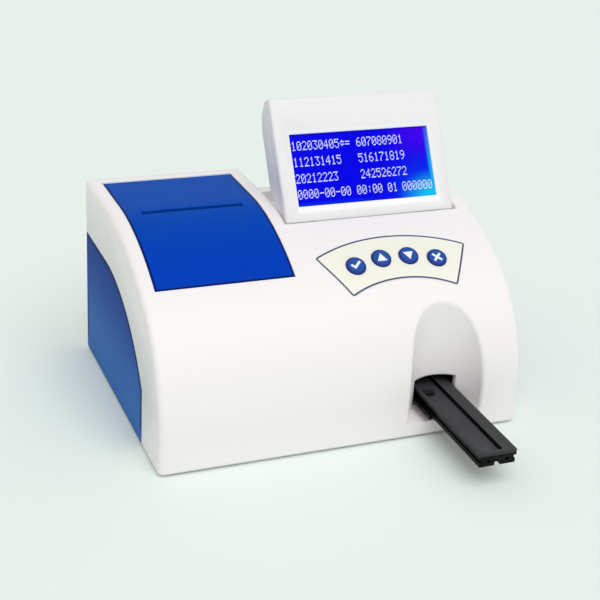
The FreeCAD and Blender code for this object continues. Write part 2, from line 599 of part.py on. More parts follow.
for side, middle in (("left", lug_left), ("right", lug_right)):
    lugs.append(rod(f"lug_{side}", "x", "ear_radius", "lug_width", f"{middle} - lug_width / 2", f"{axis_u}",
                    f"{axis_n}"))
    lugs.append(box(f"lug_arm_{side}", f"{middle} - lug_width / 2", f"{middle} + lug_width / 2", f"{axis_u}",
                    "glass_low - 0.6", f"{axis_n} - ear_radius", "-display_split"))
lug_bore = rod("lug_bore", "x", "display_pin_radius + running_clearance", "display_width", LEFT, f"{axis_u}",
               f"{axis_n}")
back_posts = []
for index, (x, y) in enumerate((x, y) for x in corner_x for y in corner_y):
    back_posts.append(rod(f"back_post_{index}", "z", "3.4", "display_depth - 8.4", x, y, "-display_depth"))
    back_posts.append(rod(f"back_neck_{index}", "z", "2.2", "8.4 - display_split", x, y, "-8.4"))
back_half = fuse("back_half", [common("back_shell", display_shell, split_below),
                               common("back_lining", fuse("back_extras", back_posts),
                                      common("back_core", display_solid, box(
                                          "back_core_box", LEFT, RIGHT, "-20", "display_length",
                                          "-display_depth - 1", "-display_split"))), *lugs])
vents = [box(f"vent_{index}", "display_left + 35", "display_left + 70", f"{30 + 4 * index}", f"{31.6 + 4 * index}",
             "-display_depth - 1", "-display_depth + display_wall + 1") for index in range(5)]
keep(tilted(cut("back_cut", back_half, [lug_bore, *back_holes, *vents]), display_frame), "display_back")
GLASS_BACK = "(-display_wall - glass_thickness)"


def tilted_block(node, frame, *limits):
    """A block that is square to a tilted frame."""
    return keep(tilted(group(f"{node}_set", [box(f"{node}_box", *limits)]), frame), node)


tilted_block("lcd_window", display_frame, "glass_left - glass_side", "glass_left + glass_width + glass_side",
             "glass_low - 1.5", "glass_high + 2.5", GLASS_BACK, "-display_wall")
MODULE_BACK = f"({GLASS_BACK} - module_thickness)"
keep(tilted(fuse("module_with_board", [
    box("module_frame", "glass_left - module_side", "glass_left + glass_width + module_side", "glass_low - 0.4",
        "glass_high + 3.5", MODULE_BACK, GLASS_BACK),
    box("module_board", "glass_left + 2", "glass_left + glass_width - 2", "glass_low + 6", "glass_high",
        f"{MODULE_BACK} - display_board", MODULE_BACK)]), display_frame), "lcd_module")
keep(tilted(group("display_screw_set", display_screws), display_frame), "display_screws")
keep(group("display_pin_set", [
    rod(f"display_pin_{side}", "x", "display_pin_radius", "lug_width + 2 * ear_width + 2 * fit_gap",
        f"{middle} - lug_width / 2 - ear_width - fit_gap", f"{REAR} - hinge_rear", f"{BASE} + hinge_height")
    for side, middle in (("left", lug_left), ("right", lug_right))]), "display_hinge_pins")

# ============================== printer ==============================
cover_under = profile.under("cover_under", d.cover_thickness, f"-{HALF}", HALF)
cover_block = box("cover_block", "cover_left", "cover_right", f"{REAR} - cover_front", barrel_y,
                  f"{BASE} + 70", f"{TOP} + 5")
cover_slab = cut("cover_slab", common("cover_top", cover_block, outside), [cover_under])
cover_barrel = rod("cover_barrel", "x", "hinge_barrel_radius", "cover_right - cover_left", "cover_left",
                   barrel_y, barrel_z)
slot = box("paper_slot", "(cover_left + cover_right) / 2 - slot_length / 2",
           "(cover_left + cover_right) / 2 + slot_length / 2", f"{REAR} - slot_rear - slot_width / 2",
           f"{REAR} - slot_rear + slot_width / 2", f"{TOP} - 10", f"{TOP} + 2")
cover_bore = rod("cover_bore", "x", "cover_pin_radius + running_clearance", "cover_right - cover_left + 2",
                 "cover_left - 1", barrel_y, barrel_z)
keep(cut("cover_cut", fuse("cover_solid", [cover_slab, cover_barrel]), [slot, cover_bore]), "printer_cover")
keep(group("cover_pin_set", [
    rod("cover_pin_left", "x", "cover_pin_radius", "cover_pin_length", "cover_left - cover_gap - 3", barrel_y,
        barrel_z),
    rod("cover_pin_right", "x", "cover_pin_radius", "cover_pin_length",
        "cover_right + cover_gap + 3 - cover_pin_length", barrel_y, barrel_z)]), "cover_hinge_pins")
BAY_LEFT, BAY_RIGHT = "(cover_left + cover_ledge)", "(cover_right - cover_ledge)"
BAY_FRONT, BAY_REAR = f"({REAR} - bay_front)", f"({REAR} - bay_rear)"
BAY_MIDDLE = "((cover_left + cover_right) / 2)"
ROLL_Y, ROLL_Z = f"({REAR} - roll_rear)", f"({BASE} + roll_height)"
bay_solid = fuse("bay_solid", [
    box("bay_block", BAY_LEFT, BAY_RIGHT, BAY_FRONT, BAY_REAR, f"{BASE} + bay_floor", f"{BASE} + bay_top"),
    box("bay_flange_left", f"{BAY_LEFT} - 5", BAY_LEFT, f"{REAR} - 40", f"{REAR} - 14", f"{CEILING} - 6", CEILING),
    box("bay_flange_right", BAY_RIGHT, f"{BAY_RIGHT} + 5", f"{REAR} - 40", f"{REAR} - 14", f"{CEILING} - 6",
        CEILING)])
bay_space = box("bay_space", f"{BAY_LEFT} + bay_wall", f"{BAY_RIGHT} - bay_wall", f"{BAY_FRONT} + bay_wall",
                f"{BAY_REAR} - bay_wall", f"{BASE} + bay_floor + bay_wall", f"{TOP}")
spindle_bore = rod("spindle_bore", "x", "spindle_radius", "cover_right - cover_left + 10",
                   "cover_left - 5", ROLL_Y, ROLL_Z)
keep(cut("bay_cut", bay_solid, [bay_space, spindle_bore]), "paper_bay")
keep(rod("spindle", "x", "spindle_radius", f"{BAY_RIGHT} - {BAY_LEFT}", BAY_LEFT, ROLL_Y, ROLL_Z),
     "roll_spindle")
ROLL_LEFT = f"({BAY_MIDDLE} - roll_width / 2)"
for node, outer, inner in (("paper_roll", "roll_radius", "core_radius"),
                           ("roll_core", "core_radius", "spindle_radius + running_clearance")):
    keep(cut(f"{node}_cut", rod(f"{node}_outer", "x", outer, "roll_width", ROLL_LEFT, ROLL_Y, ROLL_Z),
             [rod(f"{node}_inner", "x", inner, "roll_width + 2", f"{ROLL_LEFT} - 1", ROLL_Y, ROLL_Z)]), node)
PLATE_LEFT, PLATE_RIGHT = f"({ROLL_LEFT} - side_play)", f"({ROLL_LEFT} + roll_width + side_play)"
PLATEN_Y, PLATEN_Z = f"({REAR} - slot_rear - platen_radius)", f"({BASE} + platen_height)"
gear_reach = "(printer_module * (platen_teeth + motor_teeth) / 2)"
MOTOR_Z = f"({PLATEN_Z} - {gear_reach})"
platen_hole = rod("platen_hole", "x", "platen_journal + running_clearance", "case_width", "cover_left", PLATEN_Y,
                  PLATEN_Z)
motor_hole = rod("motor_hole", "x", "platen_journal + running_clearance", "20", f"{PLATE_RIGHT} - 10", PLATEN_Y,
                 MOTOR_Z)
FRAME_LOW = f"({BASE} + bay_floor + bay_wall)"
frame_solid = fuse("printer_frame_solid", [
    box("frame_left", f"{PLATE_LEFT} - frame_plate", PLATE_LEFT, f"{PLATEN_Y} - 7", f"{PLATEN_Y} + 9", FRAME_LOW,
        f"{PLATEN_Z} + 5"),
    box("frame_right", PLATE_RIGHT, f"{PLATE_RIGHT} + frame_plate", f"{PLATEN_Y} - 7", f"{PLATEN_Y} + 9",
        FRAME_LOW, f"{PLATEN_Z} + 5"),
    box("frame_bridge", PLATE_LEFT, PLATE_RIGHT, f"{PLATEN_Y} - 7", f"{PLATEN_Y} + 9", FRAME_LOW,
        f"{FRAME_LOW} + frame_plate")])
keep(cut("printer_frame_cut", frame_solid, [platen_hole, motor_hole]), "printer_frame")
keep(box("thermal_bar", PLATE_LEFT, PLATE_RIGHT, f"{PLATEN_Y} + platen_radius + 0.1",
         f"{PLATEN_Y} + platen_radius + 0.1 + head_thickness", f"{PLATEN_Z} - head_height + 5", f"{PLATEN_Z} + 5"),
     "thermal_head")
keep(cut("platen_sleeve", rod("platen_rubber", "x", "platen_radius", "roll_width", ROLL_LEFT, PLATEN_Y, PLATEN_Z),
         [rod("platen_sleeve_bore", "x", "platen_journal", "roll_width + 2", f"{ROLL_LEFT} - 1", PLATEN_Y, PLATEN_Z)]),
     "platen_roller")
keep(rod("platen_axle", "x", "platen_journal",
         f"{PLATE_RIGHT} - {PLATE_LEFT} + 2 * frame_plate + printer_gear_width + 0.8",
         f"{PLATE_LEFT} - frame_plate", PLATEN_Y, PLATEN_Z), "platen_shaft")


def gear(name, module, teeth, width, bore, phase):
    """A straight-toothed wheel with flat flanks, its axle hole on the sketch's origin."""
    count = round(teeth)
    pitch = math.radians(360.0 / count)
    tip, root = module * (count / 2 + 1) - 0.02 * module, module * (count / 2 - 1.25)
    points = []
    for tooth in range(count):
        middle = tooth * pitch + math.radians(phase)
        for share, radius in ((-0.28, root), (-0.10, tip), (0.10, tip), (0.28, root)):
            angle = middle + share * pitch
            points.append((radius * math.cos(angle), radius * math.sin(angle)))
    body = sketched(name, loop(points), width)
    body.Tip.Profile[0].addGeometry(Part.Circle(Vector(), Vector(0, 0, 1), bore), False)
    return body


def spun(body, x, y, z):
    """Turn a gear's axis to +X and place it."""
    across(body)
    for letter, place in zip("xyz", (x, y, z)):
        bind(body, f"Placement.Base.{letter}", place)
    return body


GEAR_X = f"{PLATE_RIGHT} + frame_plate + 0.4"
keep(spun(gear("platen_wheel", d.printer_module, d.platen_teeth, "printer_gear_width", d.platen_journal,
               180.0 / d.platen_teeth - 90.0), GEAR_X, PLATEN_Y, PLATEN_Z), "platen_gear")
motor_wheel = spun(gear("motor_wheel", d.printer_module, d.motor_teeth, "printer_gear_width",
                        d.platen_journal, 90.0), GEAR_X, PLATEN_Y, MOTOR_Z)
motor_can = rod("printer_motor_can", "x", "printer_motor_radius", "printer_motor_length",
                f"{PLATE_RIGHT} - printer_motor_length", PLATEN_Y, MOTOR_Z)
keep(cut("printer_motor_cut", motor_can, [
    rod("printer_motor_bore", "x", "platen_journal + running_clearance", "printer_motor_length",
        f"{PLATE_RIGHT} - printer_motor_length + 2", PLATEN_Y, MOTOR_Z)]), "printer_motor")
keep(fuse("motor_wheel_and_axle", [motor_wheel, rod(
    "printer_motor_axle", "x", "platen_journal",
    "printer_motor_length - 2.4 + frame_plate + 0.4 + printer_gear_width",
    f"{PLATE_RIGHT} - printer_motor_length + 2.4", PLATEN_Y, MOTOR_Z)]), "printer_motor_gear")

# ============================== strip tray and its drive ==============================
tray_front = -(d.case_depth + d.tray_reach) / 2
TRAY_FRONT = "(-(case_depth + tray_reach) / 2)"
TRAY_REAR = f"({TRAY_FRONT} + tray_length)"
FLANGE_LOW = f"({TRAY_TOP} - flange_height)"
GROOVE_LOW = f"({FLANGE_LOW} - groove_height)"
RACK_LEFT, RACK_RIGHT = "(tray_x - rack_width / 2)", "(tray_x + rack_width / 2)"
tray_cuts = [
    box("tray_groove_left", f"{TRAY_LEFT} - 1", f"{TRAY_LEFT} + groove_depth", f"{TRAY_FRONT} - 1",
        f"{TRAY_REAR} + 1", GROOVE_LOW, FLANGE_LOW),
    box("tray_groove_right", f"{TRAY_RIGHT} - groove_depth", f"{TRAY_RIGHT} + 1", f"{TRAY_FRONT} - 1",
        f"{TRAY_REAR} + 1", GROOVE_LOW, FLANGE_LOW),
    box("tray_lower_left", f"{TRAY_LEFT} - 1", f"{TRAY_LEFT} + lower_inset", f"{TRAY_FRONT} - 1",
        f"{TRAY_REAR} + 1", f"{TRAY_LOW} - 1", GROOVE_LOW),
    box("tray_lower_right", f"{TRAY_RIGHT} - lower_inset", f"{TRAY_RIGHT} + 1", f"{TRAY_FRONT} - 1",
        f"{TRAY_REAR} + 1", f"{TRAY_LOW} - 1", GROOVE_LOW),
    box("tray_rack_seat", RACK_LEFT, RACK_RIGHT, f"{TRAY_FRONT} + rack_inset", f"{TRAY_REAR} + 1",
        f"{TRAY_LOW} - 1", FLANGE_LOW),
    box("tray_end_notch", "tray_x - end_notch_width / 2", "tray_x + end_notch_width / 2", f"{TRAY_FRONT} - 1",
        f"{TRAY_FRONT} + rack_inset + 0.5", f"{TRAY_LOW} - 1", f"{TRAY_LOW} + end_notch_height"),
    box("tray_channel", f"{TRAY_LEFT} + channel_left", f"{TRAY_RIGHT} - channel_right", f"{TRAY_FRONT} + 6",
        f"{TRAY_REAR} - 4", f"{TRAY_TOP} - channel_depth", f"{TRAY_TOP} + 1"),
    box("tray_channel_end", f"{TRAY_LEFT} + channel_left + 5.5", f"{TRAY_RIGHT} - channel_right", f"{TRAY_FRONT} + 2",
        f"{TRAY_FRONT} + 7", f"{TRAY_TOP} - channel_depth", f"{TRAY_TOP} + 1"),
    box("tray_line", f"{TRAY_RIGHT} - channel_right", f"{TRAY_RIGHT} - channel_right + line_width",
        f"{TRAY_FRONT} + 2.5", f"{TRAY_REAR} - 4", f"{TRAY_TOP} - line_depth", f"{TRAY_TOP} + 1"),
    rod("tray_end_hole_left", "y", "0.9", "3", f"{TRAY_LEFT} + 5.6", f"{TRAY_FRONT} - 1", f"{TRAY_LOW} + 3"),
    rod("tray_end_hole_right", "y", "0.9", "3", f"{TRAY_RIGHT} - 5.6", f"{TRAY_FRONT} - 1", f"{TRAY_LOW} + 3"),
]
tray_block = box("tray_block", TRAY_LEFT, TRAY_RIGHT, TRAY_FRONT, TRAY_REAR, TRAY_LOW, TRAY_TOP)
keep(cut("tray_cut", tray_block, tray_cuts), "strip_tray")
keep(box("clip", f"{TRAY_LEFT} + channel_left", f"{TRAY_LEFT} + channel_left + 6", f"{TRAY_FRONT} + 66",
         f"{TRAY_FRONT} + 70", f"{TRAY_TOP} - channel_depth", f"{TRAY_TOP} + 0.6"), "strip_clip")
keep(box("white_pad", f"{TRAY_LEFT} + channel_left + 2", f"{TRAY_RIGHT} - channel_right - 2", f"{TRAY_REAR} - 12",
         f"{TRAY_REAR} - 6", f"{TRAY_TOP} - channel_depth", f"{TRAY_TOP} - channel_depth + 0.8"),
     "white_reference_pad")
pinion_y = rear_y - d.pinion_rear
pinion_pitch = d.rack_module * d.pinion_teeth / 2
rack_pitch_z = base_z + d.tray_bottom + d.rack_rise + d.rack_module
PINION_Y = f"({REAR} - pinion_rear)"
PINION_Z = f"({TRAY_LOW} + rack_rise + rack_module - rack_module * pinion_teeth / 2)"


def rack_outline():
    """The rack's side view, teeth down, with a gap straight above the pinion."""
    step = math.pi * d.rack_module
    front = tray_front + d.rack_inset
    back = tray_front + d.tray_length
    top = base_z + d.tray_bottom + d.tray_height - d.flange_height
    tip, root = rack_pitch_z - 0.98 * d.rack_module, rack_pitch_z + 1.25 * d.rack_module
    points = [(front, top), (front, root)]
    first = math.ceil((front - pinion_y) / step)
    last = math.floor((back - pinion_y) / step) - 1
    for tooth in range(first, last + 1):
        middle = pinion_y + (tooth + 0.5) * step
        points += [(middle - 0.37 * step, root), (middle - 0.10 * step, tip), (middle + 0.10 * step, tip),
                   (middle + 0.37 * step, root)]
    return points + [(back, root), (back, top)]


rack = across(sketched("rack", loop(rack_outline()), "rack_width"))
bind(rack, "Placement.Base.x", RACK_LEFT)
keep(rack, "tray_rack")
keep(spun(gear("pinion", d.rack_module, d.pinion_teeth, "pinion_width", d.shaft_radius, 90.0),
          "tray_x - pinion_width / 2", PINION_Y, PINION_Z), "drive_pinion")
RAIL_LEFT = f"({TRAY_LEFT} - tray_clearance)"
RAIL_RIGHT = f"({TRAY_RIGHT} + tray_clearance)"
LIP_LOW, LIP_HIGH = f"({GROOVE_LOW} + tray_clearance)", f"({FLANGE_LOW} - tray_clearance)"
rail_span = (f"{REAR} - rail_front", f"{REAR} - rail_rear")
shaft_room = rod("shaft_room", "x", "shaft_radius + 1", "30", "tray_x", PINION_Y, PINION_Z)
keep(fuse("guide_left", [
    box("guide_left_wall", f"{RAIL_LEFT} - rail_width", RAIL_LEFT, *rail_span, DECK, LIP_HIGH),
    box("guide_left_lip", RAIL_LEFT, f"{RAIL_LEFT} + groove_depth", *rail_span, LIP_LOW, LIP_HIGH),
    box("guide_left_nose", f"{RAIL_LEFT} - 2", RAIL_LEFT, f"{REAR} - rail_front - 1 - guide_reach - 6",
        f"{REAR} - rail_front", f"{TRAY_LOW} + 0.3", f"{TRAY_LOW} + 2.5")]), "tray_guide_left")
guide_right = fuse("guide_right_solid", [
    box("guide_right_wall", RAIL_RIGHT, f"{RAIL_RIGHT} + rail_width - 0.8", *rail_span, DECK, LIP_HIGH),
    box("guide_right_lip", f"{RAIL_RIGHT} - groove_depth", RAIL_RIGHT, *rail_span, LIP_LOW, LIP_HIGH)])
keep(cut("guide_right_cut", guide_right, [shaft_room]), "tray_guide_right")
MOTOR_X = f"({RAIL_RIGHT} + rail_width - 0.6)"
tray_motor = fuse("tray_motor_solid", [
    box("tray_motor_box", MOTOR_X, f"{MOTOR_X} + 9", f"{PINION_Y} - motor_width / 2", f"{PINION_Y} + motor_width / 2",
        DECK, f"{DECK} + motor_height"),
    rod("tray_motor_can", "x", "motor_width / 2", "motor_length - 9", f"{MOTOR_X} + 9", PINION_Y,
        f"{DECK} + motor_height / 2")])
keep(cut("tray_motor_cut", tray_motor, [
    rod("tray_motor_bore", "x", "shaft_radius + running_clearance", "8", f"{MOTOR_X} - 1", PINION_Y, PINION_Z)]),
    "tray_motor")
keep(rod("drive_axle", "x", "shaft_radius", f"{MOTOR_X} + 6 - (tray_x - pinion_width / 2 - 5)",
         "tray_x - pinion_width / 2 - 5", PINION_Y, PINION_Z), "drive_shaft")
bearing = fuse("bearing_solid", [
    box("bearing_block", "tray_x - pinion_width / 2 - 4", "tray_x - pinion_width / 2 - 1", f"{PINION_Y} - 4",
        f"{PINION_Y} + 4", DECK, f"{PINION_Z} + 2.8"),
    box("bearing_foot", "tray_x - pinion_width / 2 - 8", "tray_x - pinion_width / 2 - 1", f"{PINION_Y} - 4",
        f"{PINION_Y} + 4", DECK, f"{DECK} + 1.5")])
keep(cut("bearing_cut", bearing, [
    rod("bearing_bore", "x", "shaft_radius + running_clearance", "12", "tray_x - pinion_width / 2 - 9", PINION_Y,
        PINION_Z)]), "shaft_bearing")
sensor_y = f"({REAR} - rail_rear - 6)"
keep(cut("sensor_cut", box("sensor_block", f"{RAIL_LEFT} - rail_width - 8", f"{RAIL_LEFT} - rail_width",
                           f"{sensor_y} - 6", f"{sensor_y} + 4", DECK, f"{LIP_HIGH} + 2"),
         [box("sensor_slot", f"{RAIL_LEFT} - rail_width - 5.5", f"{RAIL_LEFT} - rail_width - 2.5", f"{sensor_y} - 7",
              f"{sensor_y} + 5", f"{LIP_HIGH} - 5", f"{LIP_HIGH} + 3")]), "home_sensor")

# ============================== optical reading head ==============================
HEAD_FRONT = f"({REAR} - head_front)"
HEAD_REAR = f"({HEAD_FRONT} + head_depth)"
HEAD_LEFT, HEAD_RIGHT = "(tray_x - head_width / 2)", "(tray_x + head_width / 2)"
HEAD_LOW, HEAD_HIGH = f"({BASE} + head_low)", f"({BASE} + head_low + head_tall)"
HEAD_Y = f"(({HEAD_FRONT} + {HEAD_REAR}) / 2)"
keep(cut("head_cut", box("head_block", HEAD_LEFT, HEAD_RIGHT, HEAD_FRONT, HEAD_REAR, HEAD_LOW, HEAD_HIGH), [
    rod("lens_seat", "z", "lens_radius", "lens_thickness", "tray_x", HEAD_Y, HEAD_LOW),
    rod("light_path", "z", "lens_radius - 1", "head_tall - 4", "tray_x", HEAD_Y, HEAD_LOW),
    rod("led_path_left", "z", "1.6", "head_tall", "tray_x - 11", HEAD_Y, HEAD_LOW),
    rod("led_path_right", "z", "1.6", "head_tall", "tray_x + 11", HEAD_Y, HEAD_LOW)]), "optical_head")
keep(rod("lens", "z", "lens_radius", "lens_thickness", "tray_x", HEAD_Y, HEAD_LOW), "head_lens")
keep(group("led_set", [rod(f"led_{side}", "z", "1.5", "5", f"tray_x + {offset}", HEAD_Y, f"{HEAD_HIGH} - 5")
                       for side, offset in (("left", -11), ("right", 11))]), "light_emitters")
keep(box("head_circuit", HEAD_LEFT, HEAD_RIGHT, HEAD_FRONT, HEAD_REAR, HEAD_HIGH, f"{HEAD_HIGH} + board_thickness"),
     "head_board")
BRIDGE_HIGH = f"({HEAD_HIGH} + board_thickness + 4)"
bracket_y = (f"{HEAD_FRONT} + 1", f"{HEAD_REAR} - 1")
keep(fuse("bracket_solid", [
    box("bracket_leg_left", f"{HEAD_LEFT} - leg_thickness", HEAD_LEFT, *bracket_y, DECK, BRIDGE_HIGH),
    box("bracket_leg_right", HEAD_RIGHT, f"{HEAD_RIGHT} + leg_thickness", *bracket_y, f"{DECK} + motor_height + 0.5",
        BRIDGE_HIGH),
    box("bracket_bridge", HEAD_LEFT, HEAD_RIGHT, *bracket_y, f"{BRIDGE_HIGH} - 2.5", BRIDGE_HIGH),
    box("bracket_foot_left", f"{HEAD_LEFT} - leg_thickness - 7", HEAD_LEFT, *bracket_y, DECK, f"{DECK} + 2.5"),
    box("bracket_foot_right", HEAD_RIGHT, f"{HEAD_RIGHT} + leg_thickness", f"{HEAD_REAR} - 7.5",
        f"{HEAD_REAR} - 1", DECK, f"{DECK} + motor_height + 1")]), "head_bracket")

# ============================== electronics ==============================
MAIN_FRONT, MAIN_REAR = f"({REAR} - main_front)", f"({REAR} - main_rear)"
MAIN_LOW = f"({BASE} + main_height)"
MAIN_TOP = f"({MAIN_LOW} + board_thickness)"
board_corners = [(x, y) for x in ("main_left + standoff_inset", "main_right - standoff_inset")
                 for y in (f"{MAIN_FRONT} + standoff_inset", f"{MAIN_REAR} - standoff_inset")]
board_screw_holes, standoffs, board_screws = [], [], []
for index, (x, y) in enumerate(board_corners):
    board_screw_holes.append(rod(f"board_hole_{index}", "z", "1.4", "10", x, y, f"{MAIN_LOW} - 1"))
    standoffs.append(cut(f"standoff_{index}", rod(f"standoff_rod_{index}", "z", "standoff_radius",
                                                  "main_height - floor_thickness", x, y, DECK),
                         [rod(f"standoff_thread_{index}", "z", "1.25", "6", x, y, f"{MAIN_LOW} - 5")]))
    board_screws.append(fuse(f"board_screw_{index}", [
        rod(f"board_screw_shank_{index}", "z", "1.2", "board_thickness + 4", x, y, f"{MAIN_LOW} - 4"),
        rod(f"board_screw_head_{index}", "z", "2.4", "1.5", x, y, MAIN_TOP)]))
main_block = box("main_block", "main_left", "main_right", MAIN_FRONT, MAIN_REAR, MAIN_LOW, MAIN_TOP)
keep(cut("main_cut", main_block, board_screw_holes), "main_board")
keep(group("standoff_set", standoffs), "board_standoffs")
keep(group("board_screw_set", board_screws), "board_screws")
# Each chip: its left edge and front edge as shares of the board, then its width, depth and height.
CHIPS = ((0.47, 0.42, 16, 16, 1.6), (0.65, 0.46, 12, 8, 1.4), (0.68, 0.65, 8, 10, 1.6), (0.24, 0.46, 10, 7, 1.8),
         (0.79, 0.25, 10, 6, 2.4), (0.11, 0.69, 18, 12, 6.0))
chips = []
for index, (share_x, share_y, wide, deep, tall) in enumerate(CHIPS):
    left = f"(main_left + {share_x} * (main_right - main_left))"
    front = f"({MAIN_FRONT} + {share_y} * (main_front - main_rear))"
    chips.append(box(f"chip_{index}", left, f"{left} + {wide}", front, f"{front} + {deep}", MAIN_TOP,
                     f"{MAIN_TOP} + {tall}"))
capacitors = [rod(f"capacitor_{index}", "z", "4", "10.5", f"main_left + {42 + 10 * index}", f"{MAIN_REAR} - 22",
                  MAIN_TOP) for index in range(3)]
keep(group("component_set", chips + capacitors), "board_components")
keep(cut("buzzer_cut", rod("buzzer_can", "z", "6", "8", "main_right - 16", f"{MAIN_FRONT} + 46", MAIN_TOP),
         [rod("buzzer_hole", "z", "1", "4", "main_right - 16", f"{MAIN_FRONT} + 46", f"{MAIN_TOP} + 5")]), "buzzer")
CELL_X, CELL_Y = "(main_left + 28)", f"({MAIN_FRONT} + 22)"
cell_holder = cut("cell_holder_cut", box("cell_holder_block", f"{CELL_X} - 12", f"{CELL_X} + 12", f"{CELL_Y} - 9",
                                f"{CELL_Y} + 9", MAIN_TOP, f"{MAIN_TOP} + 4.5"),
                  [rod("cell_seat", "z", "10.2", "6", CELL_X, CELL_Y, f"{MAIN_TOP} + 1")])
keep(group("battery_set", [cell_holder, rod("cell", "z", "10", "3.2", CELL_X, CELL_Y, f"{MAIN_TOP} + 1")]),
     "backup_battery")

PANEL_OUT = f"({REAR} - rear_recess)"
PANEL_IN = f"({PANEL_OUT} - panel_thickness)"
JACK_Z = f"({MAIN_TOP} + jack_height / 2)"
jack_limits = ("jack_x - jack_width / 2", "jack_x + jack_width / 2", f"{PANEL_OUT} - 14", PANEL_OUT, MAIN_TOP,
               f"{MAIN_TOP} + jack_height")
keep(fuse("jack_solid", [
    cut("jack_body", box("jack_block", *jack_limits),
        [rod("jack_mouth", "y", "jack_bore", "jack_depth + 1", "jack_x", f"{PANEL_OUT} - jack_depth", JACK_Z)]),
    rod("jack_centre", "y", "jack_pin", "jack_depth - 1", "jack_x", f"{PANEL_OUT} - jack_depth - 1", JACK_Z)]),
    "power_inlet")
PORT_Z = f"({MAIN_TOP} + port_height / 2)"
port_solid = fuse("port_solid", [
    box("port_flange", "port_x - port_width / 2", "port_x + port_width / 2", f"{PANEL_IN} - 1.3",
        f"{PANEL_IN} - 0.1", MAIN_TOP, f"{MAIN_TOP} + port_height"),
    box("port_body", "port_x - port_width / 2 + 5", "port_x + port_width / 2 - 5", f"{PANEL_IN} - 11",
        f"{PANEL_IN} - 1.3", MAIN_TOP, f"{MAIN_TOP} + port_height - 1"),
    box("port_shell", "port_x - port_shell_width / 2", "port_x + port_shell_width / 2", f"{PANEL_IN} - 1.3",
        f"{PANEL_OUT} + 2", f"{PORT_Z} - port_shell_height / 2", f"{PORT_Z} + port_shell_height / 2"),
    rod("port_post_left", "y", "2.2", "panel_thickness + 1.6", "port_x - port_width / 2 + 3", f"{PANEL_IN} - 0.1",
        PORT_Z),
    rod("port_post_right", "y", "2.2", "panel_thickness + 1.6", "port_x + port_width / 2 - 3",
        f"{PANEL_IN} - 0.1", PORT_Z)])
keep(cut("port_cut", port_solid, [
    box("port_mouth", "port_x - port_shell_width / 2 + 0.8", "port_x + port_shell_width / 2 - 0.8",
        f"{PANEL_OUT} - 3", f"{PANEL_OUT} + 3", f"{PORT_Z} - port_shell_height / 2 + 0.8",
        f"{PORT_Z} + port_shell_height / 2 - 0.8")]), "serial_port")

SWITCH_Z = f"({BASE} + switch_height)"


def switch_block(name, grow, low, high):
    """A block around the switch's middle, its sides grown from the switch's opening."""
    return box(name, f"switch_x - switch_width / 2 - {grow}", f"switch_x + switch_width / 2 + {grow}", low, high,
               f"{SWITCH_Z} - switch_tall / 2 - {grow}", f"{SWITCH_Z} + switch_tall / 2 + {grow}")


ROCKER_Y = f"({REAR} - rocker_axis)"
switch_bore = rod("switch_bore", "x", "1 + running_clearance", "switch_width + 4", "switch_x - switch_width / 2 - 2",
                  ROCKER_Y, SWITCH_Z)
housing = fuse("housing_solid", [switch_block("housing_block", 1.2, f"{PANEL_OUT} - switch_depth", PANEL_OUT),
                                 switch_block("housing_flange", 2.4, PANEL_OUT, f"{PANEL_OUT} + 0.8")])
keep(cut("housing_cut", housing, [
    switch_block("housing_space", 0, f"{PANEL_OUT} - switch_depth + 1.5", f"{PANEL_OUT} + 2"), switch_bore]),
    "switch_housing")
rocker_block = box("rocker_block", "switch_x - rocker_width / 2", "switch_x + rocker_width / 2", f"{ROCKER_Y} - 4",
                   f"{ROCKER_Y} + rocker_swell", f"{SWITCH_Z} - rocker_tall / 2", f"{SWITCH_Z} + rocker_tall / 2")
keep(fuse("rocker_solid", [rocker_block, rod("rocker_axle", "x", "1", "switch_width + 2",
                                           "switch_x - switch_width / 2 - 1", ROCKER_Y, SWITCH_Z)]),
     "power_rocker")
INNER = f"({HALF} - wall - fit_gap)"
panel_solid = fuse("panel_solid", [
    box("panel_low", f"-{INNER}", INNER, PANEL_IN, PANEL_OUT, DECK, f"{LEDGE} - wall - fit_gap"),
    box("panel_high", f"-{INNER}", "well_left - wall - fit_gap", PANEL_IN, PANEL_OUT, DECK, f"{CEILING} - fit_gap"),
    box("panel_tab", "well_right + wall + fit_gap", INNER, PANEL_IN, PANEL_OUT, DECK, f"{CEILING} - fit_gap")])
panel_vents = [box(f"panel_vent_{index}", "switch_x - 90", "switch_x - 40", f"{PANEL_IN} - 1",
                   f"{PANEL_OUT} + 1", f"{SWITCH_Z} + {4 * index}", f"{SWITCH_Z} + {4 * index} + 1.8")
               for index in range(5)]
keep(cut("panel_cut", panel_solid, [
    box("jack_window", "jack_x - jack_width / 2 - fit_gap", "jack_x + jack_width / 2 + fit_gap", f"{PANEL_IN} - 1",
        f"{PANEL_OUT} + 1", f"{MAIN_TOP} - fit_gap", f"{MAIN_TOP} + jack_height + fit_gap"),
    box("port_window", "port_x - port_shell_width / 2 - fit_gap", "port_x + port_shell_width / 2 + fit_gap",
        f"{PANEL_IN} - 1", f"{PANEL_OUT} + 1", f"{PORT_Z} - port_shell_height / 2 - fit_gap",
        f"{PORT_Z} + port_shell_height / 2 + fit_gap"),
    *[rod(f"port_post_hole_{side}", "y", "2.2 + fit_gap", "panel_thickness + 2",
          f"port_x + {sign} * (port_width / 2 - 3)", f"{PANEL_IN} - 1", PORT_Z)
      for side, sign in (("left", -1), ("right", 1))],
    switch_block("switch_window", 1.4, f"{PANEL_IN} - 1", f"{PANEL_OUT} + 1"), *panel_vents]), "rear_panel")

